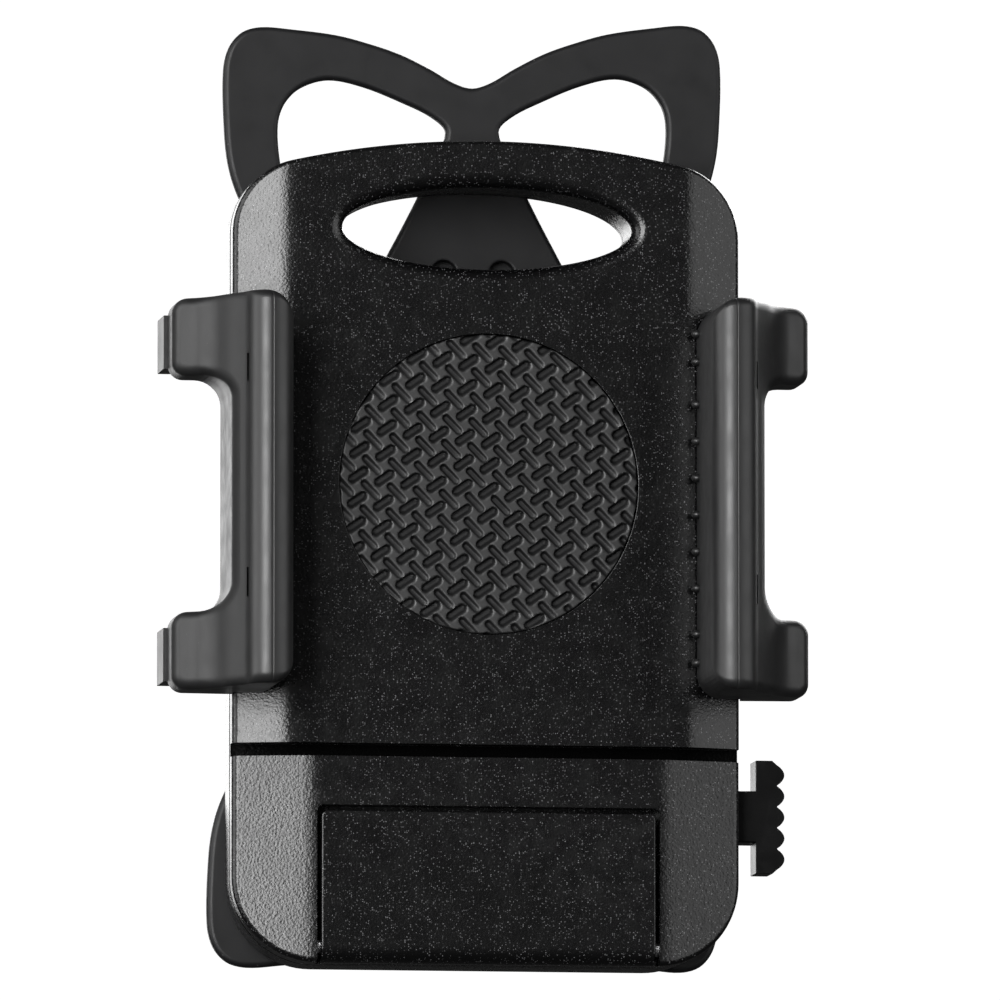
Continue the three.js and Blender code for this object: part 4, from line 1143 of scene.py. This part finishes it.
def wing_cutter(points):
    """Cutter through the band with lips rolled outwards at both faces."""
    lip = 0.7
    P = np.array(smooth_closed(counterclockwise(points), 6))
    tangent = np.roll(P, -1, 0) - np.roll(P, 1, 0)
    outward = np.stack([tangent[:, 1], -tangent[:, 0]], 1)
    outward /= np.linalg.norm(tangent, axis=1)[:, None]
    turns = np.linspace(0, QUARTER, 6)
    stations = [(BAND_FRONT - 1, lip)]
    stations += [(BAND_FRONT + lip * (1 - math.cos(t)), lip * (1 - math.sin(t))) for t in turns]
    stations += [(BAND_BACK - lip * (1 - math.cos(t)), lip * (1 - math.sin(t)))
                 for t in turns[::-1]]
    stations.append((BAND_BACK + 1, lip))
    return loft([[(float(x), float(y), float(z)) for x, z in P + outward * grow]
                 for y, grow in stations])


def make_band():
    points = counterclockwise(band_side(WING, 1) + band_side(WING[1:], -1)[::-1])
    o = prism(smooth_closed(points, 5), "Y", BAND_FRONT, BAND_BACK)
    bevel(o, 0.75, segments=4, angle=50)
    # Small blind hole with a rounded mouth at the front
    blind_hole = [(0, 13), (2.05, 13), (2.05, BAND_FRONT), (1.77, 14.42), (1.65, 14.7),
                  (1.65, 15.9), (0, 15.9)]
    cutters = []
    for side in (-1, 1):
        for half in (band_upper, band_lower):
            cutters.append(wing_cutter([half(side * x, z) for x, z in WING_HOLE]))
        cutters.append(lathe(blind_hole, "Y", side * 3.83, 29.2, 40))
        for x, z in SOCKET_SCREWS:
            if x * side > 0:
                cutters.append(cylinder("Y", x, z, 2.1, 10, 20, 32))
    cutters.append(cylinder("Y", 0, JOINT_Z, 13.6, 10, 20, 72))
    cut(o, *cutters)
    finish_piece(o, "band_skin", "cradle", "silicone", "silicone_band", smooth=40)


# =============================================================================
# 8. Ball joint
# =============================================================================
def ball_arc(radius, start, end, steps):
    """Profile arc about the centre of the ball."""
    return arc(0, BALL_Y, radius, start, end, steps)


def make_socket():
    cup = lathe([(0, 14.3), (12.9, 14.3), (13.1, 14.5), (13.1, 26.8), (12.7, 27.2), (0, 27.2)],
                "Y", 0, JOINT_Z, 96)
    o = prism(round_rect(-16.6, 16.6, JOINT_Z - 16.6, JOINT_Z + 16.6, 4.5, 8), "Y", 16.8, 19.2)
    bevel(o, 0.4, segments=3, angle=50)
    join(o, cup)
    radius = 9.88
    bowl = [(0, BALL_Y - radius)] + ball_arc(radius, -90, 0, 20)[1:] + [(radius, 40), (0, 40)]
    cut(o, lathe(bowl, "Y", 0, JOINT_Z, 96),
        *[cylinder("Y", x, z, 1.5, 10, 30, 24) for x, z in SOCKET_SCREWS])
    finish_piece(o, "socket_cup", "cradle", "arm", "ball_socket", smooth=35)


def make_collar():
    """Locking collar with scallops around its rim."""
    profile = [(13.5, 21.6), (16.3, 21.6), (16.75, 21.75), (16.9, 22.2), (16.9, 33.2),
               (16.6, 34.0), (15.8, 34.8), (11.0, 34.8), (10.5, 34.6), (8.4, 31.95)]
    profile += ball_arc(9.95, 32, 5, 10) + [(13.5, 27.66)]
    o = lathe(profile, "Y", 0, JOINT_Z, 144)
    scallops, scallop_circle = 12, 18.3
    turns = [2 * math.pi * i / scallops for i in range(scallops)]
    cut(o, *[cylinder("Y", scallop_circle * math.cos(t), JOINT_Z + scallop_circle * math.sin(t),
                      2.3, 23.4, 40, 40) for t in turns])

    def outer_edge(middle, edge):
        return math.hypot(middle.x, middle.z - JOINT_Z) > 15.4 and middle.y > 22.5

    bevel(o, 0.3, segments=2, angle=38, pick=outer_edge)
    finish_piece(o, "collar_ring", "collar", "collar", "locking_collar", smooth=35)


def make_stem():
    """Ball on a flanged post, drilled from the back."""
    profile = [(0, BALL_Y - BALL_RADIUS)] + ball_arc(BALL_RADIUS, -90, 58, 36)[1:]
    profile += [(4.7, BALL_Y + 8.1), (4.4, BALL_Y + 8.7), (4.4, 38.2), (4.7, 38.7),
                (7.3, 40.95), (7.6, 41.4), (7.6, 42.8), (7.4, 43.0), (4.5, 43.0),
                (4.5, 47.6), (4.3, 47.8), (0, 47.8)]
    o = lathe(profile, "Y", 0, JOINT_Z, 96)
    cut(o, cylinder("Y", 0, JOINT_Z, 1.9, 39, 50, 32))
    finish_piece(o, "ball_post", "stem", "alloy", "ball_stem", smooth=35)


# =============================================================================
# 9. Handlebar clamp
# =============================================================================
def make_clamp_frame():
    """C-shaped frame, open to the back, with a sloped saddle under its upper arm."""
    saddle_end = SADDLE_Z - SADDLE_SLOPE * 10.7
    # y, z, corner radius
    corners = [
        (43.3, -31.0, 2.2), (45.3, -33.0, 2.2), (74.5, -33.0, 2.2), (76.5, -31.0, 2.0),
        (76.5, -26.6, 1.5), (53.6, -26.6, 2.4), (51.3, -24.3, 2.4), (51.3, saddle_end, 0.6),
        (62, SADDLE_Z, 0.8), (70, SADDLE_Z, 0.8), (80.7, saddle_end, 0.6),
        (83, saddle_end + 0.5, 1.0), (83, 22.0, 2.4), (80.5, 24.5, 2.4), (45.8, 24.5, 2.4),
        (43.3, 22.0, 2.4)]
    o = prism(fillet_outline(corners, 5), "X", -CLAMP_HALF_WIDTH, CLAMP_HALF_WIDTH)
    bevel(o, 0.8, segments=4, angle=60)
    post_hole = cylinder("Y", 0, JOINT_Z, 4.75, 40, 50, 48)
    counterbore = lathe([(0, 48.0), (6.2, 48.0), (6.2, 50.95), (6.6, 51.35), (6.6, 60), (0, 60)],
                        "Y", 0, JOINT_Z, 64)
    spindle_hole = cylinder("Z", 0, BAR_Y, 5.0, -40, -20, 48)
    # Pockets in both side faces, above and below the joint
    floor, outside = CLAMP_HALF_WIDTH - 1.2, CLAMP_HALF_WIDTH + 3
    pockets = [prism(round_rect(45.6, 49.0, z0, z1, 1.6, 6), "X", start, end)
               for z0, z1 in ((7.5, 20.5), (-27.5, -12.0))
               for start, end in ((floor, outside), (-outside, -floor))]
    cut(o, post_hole, counterbore, spindle_hole, *pockets)
    finish_piece(o, "clamp_body", "clamp", "alloy", "clamp_frame", smooth=35)


def make_saddle():
    """Rubber liner under the saddle."""
    thickness = 1.6
    middle = SADDLE_Z - 0.3 - thickness
    end = middle - SADDLE_SLOPE * 8.8
    o = prism([(53.2, end), (62, middle), (70, middle), (78.8, end), (78.8, end + thickness),
               (70, middle + thickness), (62, middle + thickness), (53.2, end + thickness)],
              "X", -10.4, 10.4)
    bevel(o, 0.28, segments=3, angle=50)
    finish_piece(o, "saddle_pad", "clamp", "liner", "saddle_liner", smooth=35)


def make_pressure_pad():
    """Block on the tip of the spindle, and the rubber face on top of it."""
    corners = [(57.2, -17.9, 1.2), (74.8, -17.9, 1.2), (74.8, -13.9, 0.3), (57.2, -13.9, 0.3)]
    block = prism(fillet_outline(corners, 5), "X", -9.4, 9.4)
    bevel(block, 0.5, segments=3, angle=60)
    cut(block, ball((0, BAR_Y, SPINDLE_TIP_Z), radius=2.5, around=40, rings=24))
    finish_piece(block, "pad_block", "clamp_pad", "alloy", "pressure_pad", smooth=35)
    face = box(-9.2, 9.2, 57.4, 74.6, -13.6, -12.2)
    bevel(face, 0.3, segments=3, angle=60)
    finish_piece(face, "pad_face", "clamp_pad", "liner", "pad_liner", smooth=35)


def make_spindle():
    """Spindle with a ball tip and ring grooves in place of a thread."""
    crest, root, pitch = 3.0, 2.72, 1.0
    profile = arc(0, SPINDLE_TIP_Z, 2.2, 90, -47, 17) + [(1.5, -19.4)]
    z = -20.2
    while z > -46.6:
        profile += [(crest, z), (root, z - 0.25), (root, z - 0.35), (crest, z - 0.6)]
        z -= pitch
    profile += [(crest, -46.9), (2.6, -47.4), (0, -47.4)]
    o = lathe(profile, "Z", 0, BAR_Y, 56)
    finish_piece(o, "spindle", "clamp_spindle", "steel_z", "clamp_screw", smooth=40)


def make_knob():
    """Six-lobed knob at the lower end of the spindle."""
    points = []
    for i in range(144):
        t = i / 144 * 2 * math.pi
        r = 9.2 + 1.1 * math.cos(6 * t)
        points.append((r * math.cos(t), r * math.sin(t) + BAR_Y))
    o = prism(points, "Z", -50.0, -42.7)
    bevel(o, 0.8, segments=4, angle=50)
    join(o, cylinder("Z", 0, BAR_Y, 5.6, -43.4, -41.9, 64))
    recess = [(0, -52), (5.6, -52), (5.6, -49.6), (5.3, -49.4), (0, -49.4)]
    cut(o, cylinder("Z", 0, BAR_Y, 3.3, -47.8, -30, 48), lathe(recess, "Z", 0, BAR_Y, 64))
    finish_piece(o, "knob", "clamp_spindle", "collar", "clamp_knob", smooth=35)


make_front()
make_rear()
make_pad()
make_ledge()
make_caps()
make_arms()
make_button()
make_band()
make_socket()
make_collar()
make_stem()
make_clamp_frame()
make_saddle()
make_pressure_pad()
make_spindle()
make_knob()

# =============================================================================
# 10. Pieces that keep their exact solids
# =============================================================================
# The button spring is squashed along X when the button is pressed
spring = finish_piece(cad_copy("button_spring"), "coil_spring", "cradle", "spring",
                      "button_spring", smooth=50)
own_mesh(spring)

KEPT_MATERIALS = {
    "ledge_hinge_pin": "steel_x", "drive_pinion": "acetal", "pinion_axle": "steel_y",
    "opening_spring": "spring", "pawl_lever": "acetal", "pawl_pin": "steel_y",
    "pawl_spring": "spring",
    "case_screw_1": "screw", "case_screw_2": "screw",
    "case_screw_3": "screw", "case_screw_4": "screw",
    "socket_screw_1": "screw", "socket_screw_2": "screw",
    "socket_screw_3": "screw", "socket_screw_4": "screw",
    "ball_liner": "acetal", "stem_washer": "steel_y", "stem_screw": "screw",
    "thread_insert": "brass"}
for node_name, material in KEPT_MATERIALS.items():
    # Guards against a CAD file that lacks one of these small parts
    try:
        part = find_node(node_name)
    except KeyError:
        continue
    part.data.materials.clear()
    part.data.materials.append(MATERIALS[material])
    edge = part.modifiers.new("edge", "BEVEL")
    edge.width = 0.00008
    edge.segments = 2
    edge.limit_method = "ANGLE"
    edge.angle_limit = 40 * DEGREE

# =============================================================================
# 11. Studio (m)
# =============================================================================
# Camera: turn from straight ahead and height in degrees, distance, width of the view at the
# origin, and shifts as parts of that width
CAMERA_TURN, CAMERA_RISE, CAMERA_DISTANCE = -8.4, -6.0, 2.40
VIEW_WIDTH = 0.130
SHIFT_X, SHIFT_Y = 0.011, -0.016
SENSOR_WIDTH = 36
# Paper sweep
FLOOR_Z, BEND_START_Y, BEND_RADIUS = -0.30, 7.5, 0.5
SWEEP_HALF_WIDTH, SWEEP_FRONT_Y, SWEEP_TOP_Z = 12.0, -6.0, 14.0
# Area lights aimed at the origin: turn and rise in degrees, distance, width, height, watts
LIGHTS = [
    ("key_left", -85, 10, 1.35, 1.0, 1.5, 16),
    ("strip_left", -31, 4, 1.35, 0.58, 1.4, 40),
    ("fill_right", 55, 8, 1.3, 1.25, 1.3, 10.0),
    ("rim_left", -169, 5, 0.97, 0.30, 0.5, 1.6),
    ("back_right", 150, 25, 1.2, 0.6, 0.6, 8)]


def polar(turn, rise, distance):
    """Point around the origin; turn 0 is straight in front, positive turns to the right."""
    return (distance * math.sin(turn * DEGREE) * math.cos(rise * DEGREE),
            -distance * math.cos(turn * DEGREE) * math.cos(rise * DEGREE),
            distance * math.sin(rise * DEGREE))


def aim(o, direction):
    o.rotation_euler = direction.to_track_quat("-Z", "Y").to_euler()


def add_object(name, data):
    o = bpy.data.objects.new(name, data)
    scene.collection.objects.link(o)
    return o


def make_camera():
    data = bpy.data.cameras.new("camera")
    camera = add_object("camera", data)
    outward = Vector(polar(CAMERA_TURN, CAMERA_RISE, 1.0))
    camera.location = outward * CAMERA_DISTANCE
    aim(camera, -outward)
    data.sensor_width = SENSOR_WIDTH
    data.lens = SENSOR_WIDTH * CAMERA_DISTANCE / VIEW_WIDTH
    data.shift_x = SHIFT_X
    data.shift_y = SHIFT_Y
    data.clip_start, data.clip_end = 0.01, 20
    scene.camera = camera


def make_sweep():
    """Plain paper: floor and wall in one curved sheet."""
    profile = [(SWEEP_FRONT_Y, FLOOR_Z), (BEND_START_Y, FLOOR_Z)]
    profile += [(BEND_START_Y + BEND_RADIUS * math.sin(t * DEGREE),
                 FLOOR_Z + BEND_RADIUS * (1 - math.cos(t * DEGREE))) for t in range(6, 91, 6)]
    profile.append((BEND_START_Y + BEND_RADIUS, SWEEP_TOP_Z))
    bm = bmesh.new()
    rows = [[bm.verts.new((x, y, z)) for x in (-SWEEP_HALF_WIDTH, SWEEP_HALF_WIDTH)]
            for y, z in profile]
    for a, b in zip(rows, rows[1:]):
        bm.faces.new((a[0], a[1], b[1], b[0])).smooth = True
    mesh = bpy.data.meshes.new("sweep")
    bm.to_mesh(mesh)
    bm.free()
    mesh.materials.append(paper("paper_floor"))
    add_object("sweep", mesh)


def make_world():
    """White surroundings: full to the camera, faint as a light."""
    world = bpy.data.worlds.new("studio") if scene.world is None else scene.world
    scene.world = world
    world.use_nodes = True
    nodes, links = world.node_tree.nodes, world.node_tree.links
    nodes.clear()
    output = nodes.new("ShaderNodeOutputWorld")
    background = nodes.new("ShaderNodeBackground")
    light_path = nodes.new("ShaderNodeLightPath")
    strength = nodes.new("ShaderNodeMapRange")
    strength.inputs["To Min"].default_value = 0.05
    strength.inputs["To Max"].default_value = 1.0
    links.new(light_path.outputs["Is Camera Ray"], strength.inputs["Value"])
    links.new(strength.outputs["Result"], background.inputs["Strength"])
    background.inputs["Color"].default_value = (1, 1, 1, 1)
    links.new(background.outputs["Background"], output.inputs["Surface"])


def make_light(name, turn, rise, distance, width, height, watts):
    data = bpy.data.lights.new(name, "AREA")
    data.energy = watts
    data.shape = "RECTANGLE"
    data.size = width
    data.size_y = height
    light = add_object(name, data)
    light.location = polar(turn, rise, distance)
    aim(light, -Vector(polar(turn, rise, distance)))
    light.visible_camera = False


make_camera()
make_sweep()
make_world()
for light_settings in LIGHTS:
    make_light(*light_settings)

scene.view_settings.view_transform = "Standard"
scene.view_settings.look = "None"

bpy.data.collections.remove(workshop)
